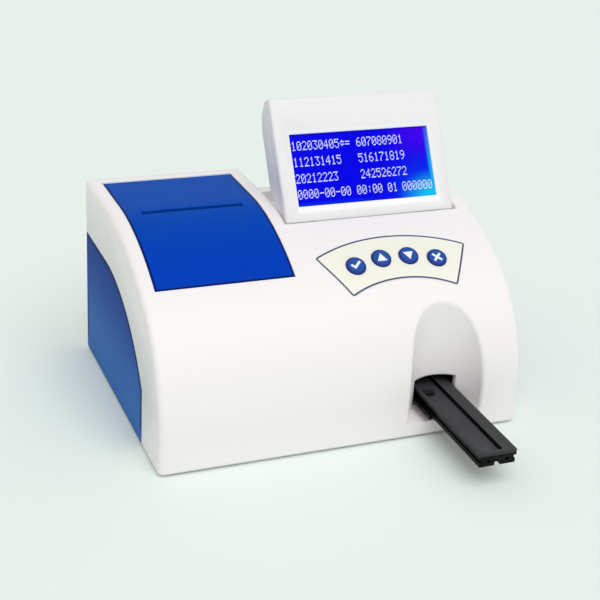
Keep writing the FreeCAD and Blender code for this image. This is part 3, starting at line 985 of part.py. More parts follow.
# ============================== base ==============================
base_block = box("base_block", f"-{INNER}", INNER, f"{FRONT} + wall + fit_gap", REAR, BASE, DECK)
base_cuts, base_screws = [], []
for side, sign in (("left", "-1"), ("right", "1")):
    for end, dist in (("rear", "boss_rear"), ("front", "boss_front")):
        spot = (f"{sign} * ({HALF} - wall - boss_width / 2)", f"{REAR} - {dist}")
        base_cuts.append(rod(f"base_hole_{side}_{end}", "z", "screw_radius + 0.2", "10", *spot, f"{BASE} - 1"))
        base_cuts.append(rod(f"base_sink_{side}_{end}", "z", "screw_head_radius + 0.2", "screw_head + 1.1", *spot,
                             f"{BASE} - 1"))
        base_screws.append(fuse(f"base_screw_{side}_{end}", [
            rod(f"base_shank_{side}_{end}", "z", "screw_radius", "screw_length - 0.5", *spot, BASE),
            rod(f"base_head_{side}_{end}", "z", "screw_head_radius", "screw_head", *spot, BASE)]))
base_vents = [box(f"base_vent_{index}", f"-40 + {8 * index}", f"-37.5 + {8 * index}", f"{REAR} - 90", f"{REAR} - 50",
                  f"{BASE} - 1", f"{DECK} + 1") for index in range(6)]
keep(cut("base_cut", base_block, [*base_cuts, *base_vents]), "base_plate")
keep(group("base_screw_set", base_screws), "base_screws")
keep(group("foot_set", [
    rod(f"foot_{index}", "z", "foot_radius", "foot_height", x, y, "0")
    for index, (x, y) in enumerate((x, y) for x in (f"-{HALF} + foot_inset", f"{HALF} - foot_inset")
                                   for y in (f"{FRONT} + foot_inset", f"{REAR} - foot_inset"))]), "rubber_feet")

# ============================== checks and export ==============================
doc.recompute()
failed = [item.Name for item in doc.Objects if "Invalid" in item.State or "Error" in item.State]
if failed:
    raise SystemExit(f"failed objects: {failed}")
for node, item in nodes.items():
    if item.Shape.isNull() or not item.Shape.isValid() or not item.Shape.Solids:
        raise SystemExit(f"bad shape: {node}")
os.makedirs("parts", exist_ok=True)
for node, item in nodes.items():
    item.Shape.exportStep(f"parts/{node}.step")
print(len(nodes), "sub-parts written")
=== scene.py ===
"""Looks of the benchtop strip analyzer: finishes, smooth shells, keys, lit display and studio.

Metres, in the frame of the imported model: +Z up, +Y to the back, X to the right.
"""
import json
import logging
import math
from dataclasses import dataclass, field
from enum import Enum
from typing import Mapping, Sequence, Union

import bmesh
import bpy
from mathutils import Matrix, Vector


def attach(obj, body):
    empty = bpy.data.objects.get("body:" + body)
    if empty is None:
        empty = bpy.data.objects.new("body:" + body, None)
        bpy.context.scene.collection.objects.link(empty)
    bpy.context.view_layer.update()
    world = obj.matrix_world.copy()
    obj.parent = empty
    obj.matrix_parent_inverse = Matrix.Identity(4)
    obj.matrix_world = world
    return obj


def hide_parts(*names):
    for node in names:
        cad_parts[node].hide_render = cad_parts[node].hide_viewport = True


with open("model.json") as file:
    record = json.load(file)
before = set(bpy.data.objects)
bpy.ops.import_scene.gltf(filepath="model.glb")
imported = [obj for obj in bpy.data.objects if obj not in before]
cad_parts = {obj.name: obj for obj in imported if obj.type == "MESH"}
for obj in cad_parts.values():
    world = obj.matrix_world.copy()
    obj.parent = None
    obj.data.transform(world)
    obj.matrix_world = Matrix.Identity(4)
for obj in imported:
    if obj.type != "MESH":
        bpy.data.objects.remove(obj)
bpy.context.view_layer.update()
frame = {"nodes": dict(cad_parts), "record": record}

LOG = logging.getLogger("analyzer")
MM = 0.001
EDGE_SHADE = "edge_shade"
Colour = tuple[float, float, float]
Span = tuple[float, float]
Number = Union[float, "Value"]


def screen(red: int, green: int, blue: int) -> Colour:
    """Turn screen values from 0 to 255 into the linear colour that a shader takes.

    Args:
        red: Red value.
        green: Green value.
        blue: Blue value.

    Returns:
        The linear colour.
    """
    shares = (value / 255 for value in (red, green, blue))
    return tuple(s / 12.92 if s <= 0.04045 else ((s + 0.055) / 1.055) ** 2.4 for s in shares)


def shaded(colour: Colour, factor: float) -> Colour:
    """Scale a colour's light.

    Args:
        colour: Linear colour.
        factor: What each channel is multiplied by, with 1 as the most it may reach.

    Returns:
        The scaled colour.
    """
    return tuple(min(1.0, channel * factor) for channel in colour)


# ------------------------------------------------------------------ shader graphs
class Value:
    """One output of a shader node, so that shader maths reads as plain expressions."""

    def __init__(self, graph: "Graph", link: bpy.types.NodeSocket) -> None:
        """Keep the graph and the node socket that this value comes from."""
        self.graph = graph
        self.link = link

    def math(self, operation: str, *terms: Number) -> "Value":
        """Add one Math node.

        Args:
            operation: The Math node's operation.
            terms: The values of its sockets, in order.

        Returns:
            The node's result.
        """
        return self.graph.node("ShaderNodeMath", {"operation": operation}, dict(enumerate(terms)))

    def __add__(self, other: Number) -> "Value":
        """Sum of two values."""
        return self.math("ADD", self, other)

    def __radd__(self, other: Number) -> "Value":
        """Sum with a plain number first."""
        return self.math("ADD", other, self)

    def __sub__(self, other: Number) -> "Value":
        """Difference of two values."""
        return self.math("SUBTRACT", self, other)

    def __rsub__(self, other: Number) -> "Value":
        """A plain number less this value."""
        return self.math("SUBTRACT", other, self)

    def __mul__(self, other: Number) -> "Value":
        """Product of two values."""
        return self.math("MULTIPLY", self, other)

    def __rmul__(self, other: Number) -> "Value":
        """Product with a plain number first."""
        return self.math("MULTIPLY", other, self)

    def __truediv__(self, other: Number) -> "Value":
        """Quotient of two values."""
        return self.math("DIVIDE", self, other)

    def __rtruediv__(self, other: Number) -> "Value":
        """A plain number over this value."""
        return self.math("DIVIDE", other, self)

    def __pow__(self, other: Number) -> "Value":
        """This value raised to a power."""
        return self.math("POWER", self, other)

    def __abs__(self) -> "Value":
        """Size of this value without its sign."""
        return self.math("ABSOLUTE", self)

    def least(self, other: Number) -> "Value":
        """The smaller of two values."""
        return self.math("MINIMUM", self, other)

    def most(self, other: Number) -> "Value":
        """The larger of two values."""
        return self.math("MAXIMUM", self, other)

    def rise(self, low: float, high: float) -> "Value":
        """Turn this value into a soft step.

        Args:
            low: Where the step starts, at 0.
            high: Where it ends, at 1. It may lie under the start, and the step then falls.

        Returns:
            The step, from 0 to 1.
        """
        return self.graph.node("ShaderNodeMapRange", {"interpolation_type": "SMOOTHSTEP"},
                               {"Value": self, "From Min": low, "From Max": high})


class Graph:
    """The nodes of one material or of the world."""

    def __init__(self, owner: bpy.types.Material | bpy.types.World) -> None:
        """Start with no nodes.

        Args:
            owner: The material or the world that the nodes belong to.
        """
        owner.use_nodes = True
        self.tree = owner.node_tree
        self.tree.nodes.clear()

    def node(self, kind: str, settings: Mapping[str, object] | None = None,
             values: Mapping[str | int, object] | None = None, output: str | int = 0) -> Value:
        """Add one node, set it and fill its sockets.

        Args:
            kind: The node's type.
            settings: Its properties, with `stops` for the stops of a ramp.
            values: Numbers, colours or links of its inputs, by name or place.
            output: Name or place of the output that is returned.

        Returns:
            That output.
        """
        made = self.tree.nodes.new(kind)
        for key, setting in (settings or {}).items():
            if key == "stops":
                ramp = made.color_ramp.elements
                while len(ramp) < len(setting):
                    ramp.new(0.5)
                for stop, (place, colour) in zip(ramp, setting):
                    stop.position = place
                    stop.color = (*colour, 1.0)
            else:
                setattr(made, key, setting)
        for key, value in (values or {}).items():
            socket = made.inputs[key]
            if isinstance(value, Value):
                self.tree.links.new(value.link, socket)
            elif socket.type == "RGBA":
                socket.default_value = (*value, 1.0)
            else:
                socket.default_value = value
        return Value(self, made.outputs[output])

    def place(self) -> Value:
        """Where the shaded point is on the piece, in metres."""
        return self.node("ShaderNodeTexCoord", output="Object")

    def axes(self, place: Value) -> tuple[Value, Value, Value]:
        """Split a place into its three parts.

        Args:
            place: A vector.

        Returns:
            Its X, Y and Z.
        """
        split = self.node("ShaderNodeSeparateXYZ", values={0: place}).link.node
        return tuple(Value(self, output) for output in split.outputs)

    def stretched(self, place: Value, scale: Sequence[float]) -> Value:
        """Scale a place along each axis.

        Args:
            place: A vector.
            scale: What each axis is multiplied by.

        Returns:
            The scaled place.
        """
        return self.node("ShaderNodeMapping", values={"Vector": place, "Scale": tuple(scale)})

    def noise(self, place: Value, size: float, detail: float = 2.0, rough: float = 0.5) -> Value:
        """Add a cloudy pattern.

        Args:
            place: Where the pattern is read.
            size: Breadth of its larger spots, in metres.
            detail: How many finer layers it has.
            rough: How strong the finer layers are.

        Returns:
            The pattern, from 0 to 1.
        """
        return self.node("ShaderNodeTexNoise", {"noise_dimensions": "3D"}, {
            "Vector": place, "Scale": 1.0 / size, "Detail": detail, "Roughness": rough})

    def blend(self, first: object, second: object, share: Number) -> Value:
        """Mix two colours.

        Args:
            first: Colour at share 0.
            second: Colour at share 1.
            share: How much of the second one there is.

        Returns:
            The mixed colour.
        """
        return self.node("ShaderNodeMix", {"data_type": "RGBA", "clamp_factor": True},
                         {0: share, 6: first, 7: second}, output=2)

    def mottled(self, colour: Colour, spread: float, pattern: Value) -> Value:
        """Vary a colour's light.

        Args:
            colour: Linear colour.
            spread: How far its light goes down and up, as a share.
            pattern: How light each place is, from 0 to 1.

        Returns:
            The varied colour.
        """
        return self.blend(shaded(colour, 1 - spread), shaded(colour, 1 + spread), pattern)

    def bump(self, height: Value, depth: float, under: Value | None = None) -> Value:
        """Raise the surface by a pattern.

        Args:
            height: The pattern, from 0 to 1.
            depth: How high 1 is, in metres.
            under: A normal that this one is laid over.

        Returns:
            The new normal.
        """
        values = {"Height": height, "Distance": depth, "Strength": 1.0}
        if under is not None:
            values["Normal"] = under
        return self.node("ShaderNodeBump", values=values)

    def close(self, kind: str, shader: Value) -> None:
        """Join a shader to an output node of the given type."""
        output = self.tree.nodes.new(kind)
        self.tree.links.new(shader.link, output.inputs["Surface"])

    def surface(self, values: Mapping[str, object]) -> None:
        """Close the graph with the surface's shader.

        Args:
            values: Numbers, colours or links of the shader's sockets.
        """
        self.close("ShaderNodeOutputMaterial", self.node("ShaderNodeBsdfPrincipled", values=values))


# ------------------------------------------------------------------ tilted frames
@dataclass(frozen=True)
class Slope:
    """A frame tilted about X: its origin, and how far its face leans back from level."""

    y: float
    z: float
    tilt: float
    x: float = 0.0

    def matrix(self) -> Matrix:
        """The transform from the frame's own axes to the model's."""
        turn = Matrix.Rotation(math.radians(self.tilt), 4, "X")
        return Matrix.Translation((self.x, self.y, self.z)) @ turn

    def local(self, graph: Graph) -> tuple[Value, Value]:
        """Read the shaded point in the frame's plane.

        Args:
            graph: The material's graph.

        Returns:
            How far right of the frame's origin the point is, and how far up the slope.
        """
        x, y, z = graph.axes(graph.place())
        run, rise = math.cos(math.radians(self.tilt)), math.sin(math.radians(self.tilt))
        return x - self.x, (y - self.y) * run + (z - self.z) * rise


DISPLAY = Slope(y=0.0270, z=0.1030, tilt=59.3)
KEYPAD = Slope(y=-0.007122, z=0.089431, tilt=29.3, x=0.04135)


@dataclass(frozen=True)
class KeyArc:
    """The arc that the keys stand on, in the key film's frame, in metres and degrees."""

    radius: float = 82.3 * MM
    middle: float = -79.4 * MM
    first: float = -17.2
    pitch: float = 11.65

    def spot(self, index: int) -> Matrix:
        """Find where a key stands.

        Args:
            index: Which key it is, from the left.

        Returns:
            The transform from the key's own axes to the model's.
        """
        angle = math.radians(self.first + index * self.pitch)
        shift = Vector((math.sin(angle), math.cos(angle), 0.0)) * self.radius
        return KEYPAD.matrix() @ Matrix.Translation(shift + Vector((0.0, self.middle, 0.0)))

    def polar(self, graph: Graph) -> tuple[Value, Value]:
        """Read the shaded point round the arc's middle.

        Args:
            graph: The material's graph.

        Returns:
            Its distance from the middle, and its angle to the right of straight up, in radians.
        """
        across, up = KEYPAD.local(graph)
        up = up - self.middle
        return (across * across + up * up) ** 0.5, across.math("ARCTAN2", across, up)


ARC = KeyArc()


# ------------------------------------------------------------------ finishes
@dataclass(frozen=True)
class Finish:
    """What every finish has: a name, and a way to paint its graph."""

    name: str

    def paint(self, graph: Graph) -> None:
        """Fill the graph. Each kind of finish has its own way."""
        raise NotImplementedError

    def material(self) -> bpy.types.Material:
        """Make the material of this finish.

        Returns:
            The material.
        """
        material = bpy.data.materials.new(self.name)
        self.paint(Graph(material))
        return material


@dataclass(frozen=True)
class MouldedPlastic(Finish):
    """Plastic from a mould: a fine eroded grain, faint flow clouds and a little handling gloss.

    The grain has a breadth and a depth, and the clouds a share by which they vary the colour.
    Soft is the radius over which edges look rounded.
    """

    colour: Colour = (0.8, 0.8, 0.8)
    roughness: float = 0.45
    grain: float = 0.5 * MM
    depth: float = 0.012 * MM
    clouds: float = 0.02
    cloud_size: float = 38 * MM
    patch_size: float = 11 * MM
    patch_edge: Span = (0.52, 0.72)
    dulled: float = 0.14
    polished: float = 0.05
    gloss: float = 0.0
    gloss_roughness: float = 0.12
    shine: float = 0.5
    index: float = 1.49
    soft: float = 0.0

    def paint(self, graph: Graph) -> None:
        """Fill the graph with the grain, the clouds, the handled patches and the softened edges.

        Args:
            graph: The material's graph.
        """
        place = graph.place()
        grain = graph.noise(place, self.grain, detail=3.0, rough=0.6)
        cloud = graph.noise(place, self.cloud_size, detail=3.0)
        patch = graph.noise(place, self.patch_size, detail=4.0, rough=0.7).rise(*self.patch_edge)
        edges = None
        if self.soft:
            edges = graph.node("ShaderNodeBevel", {"samples": 6}, {"Radius": self.soft})
        graph.surface({
            "Base Color": self.tone(graph, graph.mottled(self.colour, self.clouds, cloud)),
            "Roughness": self.roughness + (grain - 0.5) * self.dulled - patch * self.polished,
            "Specular IOR Level": self.shine, "IOR": self.index,
            "Coat Weight": self.gloss, "Coat Roughness": self.gloss_roughness,
            "Normal": graph.bump(grain, self.depth, edges)})

    def tone(self, graph: Graph, colour: Value) -> Value:
        """Leave the colour as it is. Finishes with painted shade or highlights override this."""
        return colour


@dataclass(frozen=True)
class CoverPlastic(MouldedPlastic):
    """The cover's plastic, with a painted shadow line where it turns down to the case."""

    painted_rear_shading: Colour = screen(0, 74, 174)
    painted_shadow: Colour = screen(4, 30, 100)
    line: Span = (0.665 * MM, 1.33 * MM)
    left: float = -96.8 * MM
    right: float = -19.4 * MM
    front: float = -9.7 * MM
    front_lean: float = 1.25
    rear_tone: float = 69.9 * MM

    def tone(self, graph: Graph, colour: Value) -> Value:
        """Paint shading that turns the colour towards the back, and a painted shadow at the edge.

        Args:
            graph: The material's graph.
            colour: The colour so far.

        Returns:
            The new colour.
        """
        x, y, _ = graph.axes(graph.place())
        inside = (x - self.left).least(self.right - x).least((y - self.front) * self.front_lean)
        along = graph.blend(colour, self.painted_rear_shading, y.rise(self.front, self.rear_tone))
        return graph.blend(self.painted_shadow, along, inside.rise(*self.line))


@dataclass(frozen=True)
class PanelPlastic(MouldedPlastic):
    """The side panels' plastic, with painted shade towards the top and along its curved edge."""

    painted_top_shading: Colour = screen(8, 64, 150)
    painted_shadow: Colour = screen(4, 30, 92)
    climb: Span = (12 * MM, 74 * MM)
    foot: Span = (4 * MM, 12 * MM)

    def tone(self, graph: Graph, colour: Value) -> Value:
        """Deepen the colour with height and towards the edge above the foot, as painted shade.

        Args:
            graph: The material's graph.
            colour: The colour so far.

        Returns:
            The new colour.
        """
        height = graph.axes(graph.place())[2]
        near = graph.node("ShaderNodeAttribute", {"attribute_name": EDGE_SHADE}, output="Fac")
        deep = graph.blend(colour, self.painted_top_shading, height.rise(*self.climb))
        return graph.blend(deep, self.painted_shadow, near * height.rise(*self.foot))


@dataclass(frozen=True)
class BezelPlastic(MouldedPlastic):
    """The display's plastic, with a painted highlight on the slope round the glass."""

    painted_slope_highlight: Colour = screen(247, 247, 248)
    left: float = -3.7 * MM
    right: float = 87.2 * MM
    low: float = 4.6 * MM
    high: float = 53.3 * MM
    fade: Span = (-0.3 * MM, 2.0 * MM)

    def tone(self, graph: Graph, colour: Value) -> Value:
        """Paint a highlight on the slope round the glass.

        Args:
            graph: The material's graph.
            colour: The colour so far.

        Returns:
            The new colour.
        """
        x, up = DISPLAY.local(graph)
        inside = (x - self.left).least(self.right - x).least(up - self.low).least(self.high - up)
        return graph.blend(colour, self.painted_slope_highlight, inside.rise(*self.fade))


@dataclass(frozen=True)
class KeyPlastic(MouldedPlastic):
    """The keys' plastic, with painted shade on the rim round each cap."""

    painted_rim_shade: Colour = screen(8, 40, 128)
    rim: Span = (4.3 * MM, 5.0 * MM)

    def tone(self, graph: Graph, colour: Value) -> Value:
        """Paint shade on each cap beyond its face, measured from the nearest key's middle.

        Args:
            graph: The material's graph.
            colour: The colour so far.

        Returns:
            The new colour.
        """
        radius, angle = ARC.polar(graph)
        step = math.radians(ARC.pitch)
        turn = (angle - math.radians(ARC.first)) / step
        aside = (turn - turn.math("ROUND", turn)) * step * ARC.radius
        beyond = radius - ARC.radius
        away = (beyond * beyond + aside * aside) ** 0.5
        return graph.blend(colour, self.painted_rim_shade, away.rise(*self.rim))


@dataclass(frozen=True)
class TrayPlastic(MouldedPlastic):
    """The tray's plastic: painted light on top, painted shade down its sides and in its line."""

    painted_side_shade: Colour = screen(7, 7, 9)
    climb: Span = (19.35 * MM, 19.85 * MM)
    top: float = 21.5 * MM
    line: float = 63.1 * MM
    line_half: float = 0.5 * MM
    line_front: float = -103.7 * MM
    fade: float = 0.25 * MM

    def tone(self, graph: Graph, colour: Value) -> Value:
        """Paint shade under the channel's floor and between the line's walls.

        Args:
            graph: The material's graph.
            colour: The colour so far.

        Returns:
            The new colour.
        """
        x, y, z = graph.axes(graph.place())
        line = abs(x - self.line).rise(self.line_half + self.fade, self.line_half)
        line = line * y.rise(self.line_front, self.line_front + self.fade)
        line = line * (self.top - z).rise(0.0, self.fade)
        return graph.blend(self.painted_side_shade, colour, z.rise(*self.climb) * (1 - line))


@dataclass(frozen=True)
class Metal(Finish):
    """Drawn or plated metal with fine streaks along one axis and dull finger marks."""

    colour: Colour = (0.6, 0.6, 0.6)
    roughness: float = 0.28
    streak: tuple[float, float, float] = (1.0, 14.0, 14.0)
    streak_size: float = 2.4 * MM
    streak_tones: Span = (0.86, 1.08)
    mark_size: float = 6 * MM
    mark_edge: Span = (0.45, 0.75)
    mark_tone: float = 0.78
    mark_share: float = 0.35
    depth: float = 0.006 * MM

    def paint(self, graph: Graph) -> None:
        """Fill the graph with the streaks and marks.

        Args:
            graph: The material's graph.
        """
        place = graph.place()
        drawn_out = graph.stretched(place, self.streak)
        streaks = graph.noise(drawn_out, self.streak_size, detail=4.0, rough=0.6)
        marks = graph.noise(place, self.mark_size, detail=3.0).rise(*self.mark_edge)
        low, high = (shaded(self.colour, tone) for tone in self.streak_tones)
        drawn, marked = graph.blend(low, high, streaks), shaded(self.colour, self.mark_tone)
        graph.surface({
            "Base Color": graph.blend(drawn, marked, marks * self.mark_share),
            "Metallic": 1.0, "Roughness": self.roughness + (streaks - 0.5) * 0.16 + marks * 0.10,
            "Normal": graph.bump(streaks, self.depth)})


@dataclass(frozen=True)
class Rubber(Finish):
    """Dull ground rubber with light dust in its pores."""

    colour: Colour = (0.03, 0.03, 0.03)
    pore_size: float = 0.35 * MM
    pore_tones: Span = (0.7, 1.6)
    depth: float = 0.03 * MM
    dust: Colour = (0.16, 0.155, 0.15)
    dust_size: float = 5 * MM
    dust_edge: Span = (0.5, 0.8)
    dust_share: float = 0.25

    def paint(self, graph: Graph) -> None:
        """Fill the graph with pores and dust.

        Args:
            graph: The material's graph.
        """
        place = graph.place()
        pores = graph.noise(place, self.pore_size, detail=4.0, rough=0.7)
        dust = graph.noise(place, self.dust_size, detail=3.0).rise(*self.dust_edge)
        low, high = (shaded(self.colour, tone) for tone in self.pore_tones)
        ground = graph.blend(low, high, pores)
        graph.surface({
            "Base Color": graph.blend(ground, self.dust, dust * self.dust_share),
            "Roughness": 0.78 + (pores - 0.5) * 0.2, "Specular IOR Level": 0.3,
            "Normal": graph.bump(pores, self.depth)})


@dataclass(frozen=True)
class CircuitBoard(Finish):
    """Solder mask over copper tracks, with bare plated pads."""

    colour: Colour = (0.01, 0.12, 0.04)
    track_tone: float = 1.9
    track_width: float = 0.16 * MM
    track_run: float = 6.4 * MM
    track_pitch: float = 1.9 * MM
    pad_colour: Colour = (0.55, 0.47, 0.28)
    pad_pitch: float = 4.2 * MM
    pad_edge: Span = (0.17, 0.14)
    weave_size: float = 1.2 * MM
    depth: float = 0.03 * MM

    def paint(self, graph: Graph) -> None:
        """Fill the graph with tracks, pads and the glass weave under them.

        Args:
            graph: The material's graph.
        """
        place = graph.place()
        tracks = graph.node("ShaderNodeTexBrick", {"offset": 0.37, "squash": 0.6}, {
            "Vector": place, "Scale": 1.0, "Mortar Size": self.track_width, "Mortar Smooth": 0.2,
            "Brick Width": self.track_run, "Row Height": self.track_pitch}, output="Fac")
        spots = graph.node("ShaderNodeTexVoronoi", {"feature": "F1"}, {
            "Vector": place, "Scale": 1.0 / self.pad_pitch, "Randomness": 0.35})
        pads = spots.rise(*self.pad_edge)
        weave = graph.noise(graph.stretched(place, (1.0, 6.0, 1.0)), self.weave_size)
        mask = graph.mottled(self.colour, 0.15, weave)
        tracked = graph.blend(mask, shaded(self.colour, self.track_tone), tracks)
        graph.surface({
            "Base Color": graph.blend(tracked, self.pad_colour, pads), "Metallic": pads * 0.9,
            "Roughness": 0.32 + weave * 0.12, "Normal": graph.bump(tracks, self.depth)})


@dataclass(frozen=True)
class Fibre(Finish):
    """Paper or card: short fibres lying along the web."""

    colour: Colour = (0.85, 0.85, 0.82)
    contrast: float = 0.05
    fibre_size: float = 1.5 * MM
    felt_size: float = 9 * MM
    depth: float = 0.02 * MM

    def paint(self, graph: Graph) -> None:
        """Fill the graph with fibres.

        Args:
            graph: The material's graph.
        """
        place = graph.place()
        web = graph.stretched(place, (1.0, 5.0, 5.0))
        fibres = graph.noise(web, self.fibre_size, detail=4.0, rough=0.65)
        felt = graph.noise(place, self.felt_size, detail=3.0)
        graph.surface({
            "Base Color": graph.mottled(self.colour, self.contrast, (fibres + felt) * 0.5),
            "Roughness": 0.82 + (fibres - 0.5) * 0.12, "Specular IOR Level": 0.25,
            "Normal": graph.bump(fibres, self.depth)})


@dataclass(frozen=True)
class Glass(Finish):
    """Polished glass with a trace of bloom."""

    tint: Colour = (0.92, 0.96, 1.0)
    bloom_size: float = 3 * MM
    bloom_tone: float = 0.94

    def paint(self, graph: Graph) -> None:
        """Fill the graph with clear glass and its bloom.

        Args:
            graph: The material's graph.
        """
        bloom = graph.noise(graph.place(), self.bloom_size, detail=3.0)
        graph.surface({
            "Base Color": graph.blend(self.tint, shaded(self.tint, self.bloom_tone), bloom),
            "Roughness": 0.02 + bloom * 0.05, "Transmission Weight": 0.85, "IOR": 1.5})


@dataclass(frozen=True)
class OverlayFilm(Finish):
    """Velvet key film on the case, with a dark border line printed round the ring sector."""

    colour: Colour = (0.8, 0.8, 0.8)
    ink: Colour = (0.05, 0.08, 0.2)
    outer: float = 98.2 * MM
    inner: float = 67.5 * MM
    half_angle: float = 28.0
    corner: float = 1.8 * MM
    line: Span = (0.05 * MM, 1.2 * MM)
    fade: float = 0.15 * MM
    velvet_size: float = 0.28 * MM
    cloud_size: float = 22 * MM
    depth: float = 0.01 * MM

    def depth_inside(self, graph: Graph) -> Value:
        """Measure how far the shaded point is inside the film's rounded outline.

        Args:
            graph: The material's graph.

        Returns:
            The distance, under 0 outside.
        """
        radius, angle = ARC.polar(graph)
        middle, half = (self.outer + self.inner) / 2, (self.outer - self.inner) / 2
        beyond_ring = abs(radius - middle) - (half - self.corner)
        beyond_side = radius * (abs(angle) - math.radians(self.half_angle)) + self.corner
        ring, side = beyond_ring.most(0.0), beyond_side.most(0.0)
        outside = (ring * ring + side * side) ** 0.5
        return self.corner - outside - beyond_ring.most(beyond_side).least(0.0)

    def paint(self, graph: Graph) -> None:
        """Fill the graph with the film's velvet and the printed line.

        Args:
            graph: The material's graph.
        """
        inside, (start, end) = self.depth_inside(graph), self.line
        inked = inside.rise(start, start + self.fade) * inside.rise(end, end - self.fade)
        velvet = graph.noise(graph.place(), self.velvet_size, detail=3.0, rough=0.7)
        cloud = graph.noise(graph.place(), self.cloud_size)
        film = graph.mottled(self.colour, 0.015, cloud)
        printed = graph.blend(self.ink, shaded(self.ink, 1.5), cloud)
        graph.surface({
            "Base Color": graph.blend(film, printed, inked),
            "Roughness": 0.5 + (velvet - 0.5) * 0.16 - inked * 0.12,
            "Normal": graph.bump(velvet, self.depth)})


@dataclass(frozen=True)
class LitScreen(Finish):
    """Back-lit liquid crystal behind glass: deep blue, violet and cyan where the light leaks.

    Left, right, low and high are the picture's sides in the display's frame. A leak's span says
    where it starts and where it is full, by the distance from the side that it is named for or,
    with up in its name, by the height in that frame.
    """

    deep: Colour = screen(6, 4, 232)
    violet: Colour = screen(66, 4, 236)
    cyan: Colour = screen(20, 196, 240)
    edge: Colour = screen(10, 70, 240)
    shade: Colour = screen(0, 0, 120)
    left: float = -1.5 * MM
    right: float = 85.0 * MM
    low: float = 9.0 * MM
    high: float = 50.3 * MM
    corner: Span = (26 * MM, 2 * MM)
    corner_squash: float = 2.2
    brim_right: Span = (3.0 * MM, 0.8 * MM)
    brim_up: Span = (64.3 * MM, 19.0 * MM)
    violet_right: Span = (34 * MM, 3 * MM)
    violet_up: Span = (26.3 * MM, 48.3 * MM)
    edge_right: Span = (36 * MM, 4 * MM)
    edge_up: Span = (40.3 * MM, 9.0 * MM)
    band_low: Span = (3.2 * MM, 0.2 * MM)
    band_right: Span = (18 * MM, 60 * MM)
    shade_top: Span = (1.6 * MM, 0.1 * MM)
    shade_left: Span = (0.9 * MM, 0.1 * MM)
    cell_pitch: float = 3.4 * MM

    def paint(self, graph: Graph) -> None:
        """Fill the graph with the light leaks and the fine cell rows.

        Args:
            graph: The material's graph.
        """
        x, up = DISPLAY.local(graph)
        right, low = self.right - x, up - self.low
        corner = ((right * right + low * low * self.corner_squash) ** 0.5).rise(*self.corner)
        brim = right.rise(*self.brim_right) * up.rise(*self.brim_up) * 0.8
        # Painted shade along the picture's top and left sides, under the bezel's edge.
        dark = (self.high - up).rise(*self.shade_top).most((x - self.left).rise(*self.shade_left))
        cells = graph.node("ShaderNodeTexWave", {"wave_type": "BANDS", "bands_direction": "X"}, {
            "Vector": graph.place(), "Scale": 1.0 / self.cell_pitch})
        colour = self.deep
        for tint, share in (
                (self.violet, right.rise(*self.violet_right) * up.rise(*self.violet_up)),
                (self.edge, right.rise(*self.edge_right) * up.rise(*self.edge_up) * 0.7),
                (self.cyan, brim.most(corner)),
                (self.edge, low.rise(*self.band_low) * right.rise(*self.band_right) * 0.35),
                (self.shade, dark * 0.5), (self.shade, cells * 0.06)):
            colour = graph.blend(colour, tint, share)
        graph.surface({
            "Base Color": (0.0, 0.0, 0.02), "Emission Color": colour, "Emission Strength": 1.0,
            "Roughness": 0.12 + cells * 0.02, "Specular IOR Level": 0.02})


@dataclass(frozen=True)
class LitDots(Finish):
    """Clear cells of the screen that let the white back light through."""

    colour: Colour = screen(236, 240, 255)
    dim_tone: float = 0.62
    patch_size: float = 0.5 * MM
    patch_edge: Span = (0.3, 0.6)

    def paint(self, graph: Graph) -> None:
        """Fill the graph with slightly uneven light.

        Args:
            graph: The material's graph.
        """
        uneven = graph.noise(graph.place(), self.patch_size, detail=1.0)
        dim, patches = shaded(self.colour, self.dim_tone), uneven.rise(*self.patch_edge)
        graph.surface({
            "Base Color": (0.02, 0.02, 0.05),
            "Emission Color": graph.blend(dim, self.colour, patches), "Emission Strength": 0.95,
            "Roughness": 0.3 + uneven * 0.1})


class Slot(Enum):
    """The record's material slots."""

    CASE = "case_white"
    BASE = "base_grey"
    COVER = "cover_blue"
    PANEL = "panel_blue"
    DISPLAY = "display_white"
    LCD = "lcd_glass"
    MODULE = "module_black"
    OVERLAY = "overlay_ivory"
    KEY = "key_blue"
    BOARD = "board_green"
    STEEL = "steel"
    BAY = "bay_grey"
    PAPER = "paper_white"
    CARD = "card_brown"
    CERAMIC = "ceramic_white"
    ROLLER = "roller_rubber"
    GEAR = "gear_nylon"
    MOTOR = "motor_metal"
    TRAY = "tray_black"
    LENS = "lens_glass"
    BRASS = "brass"


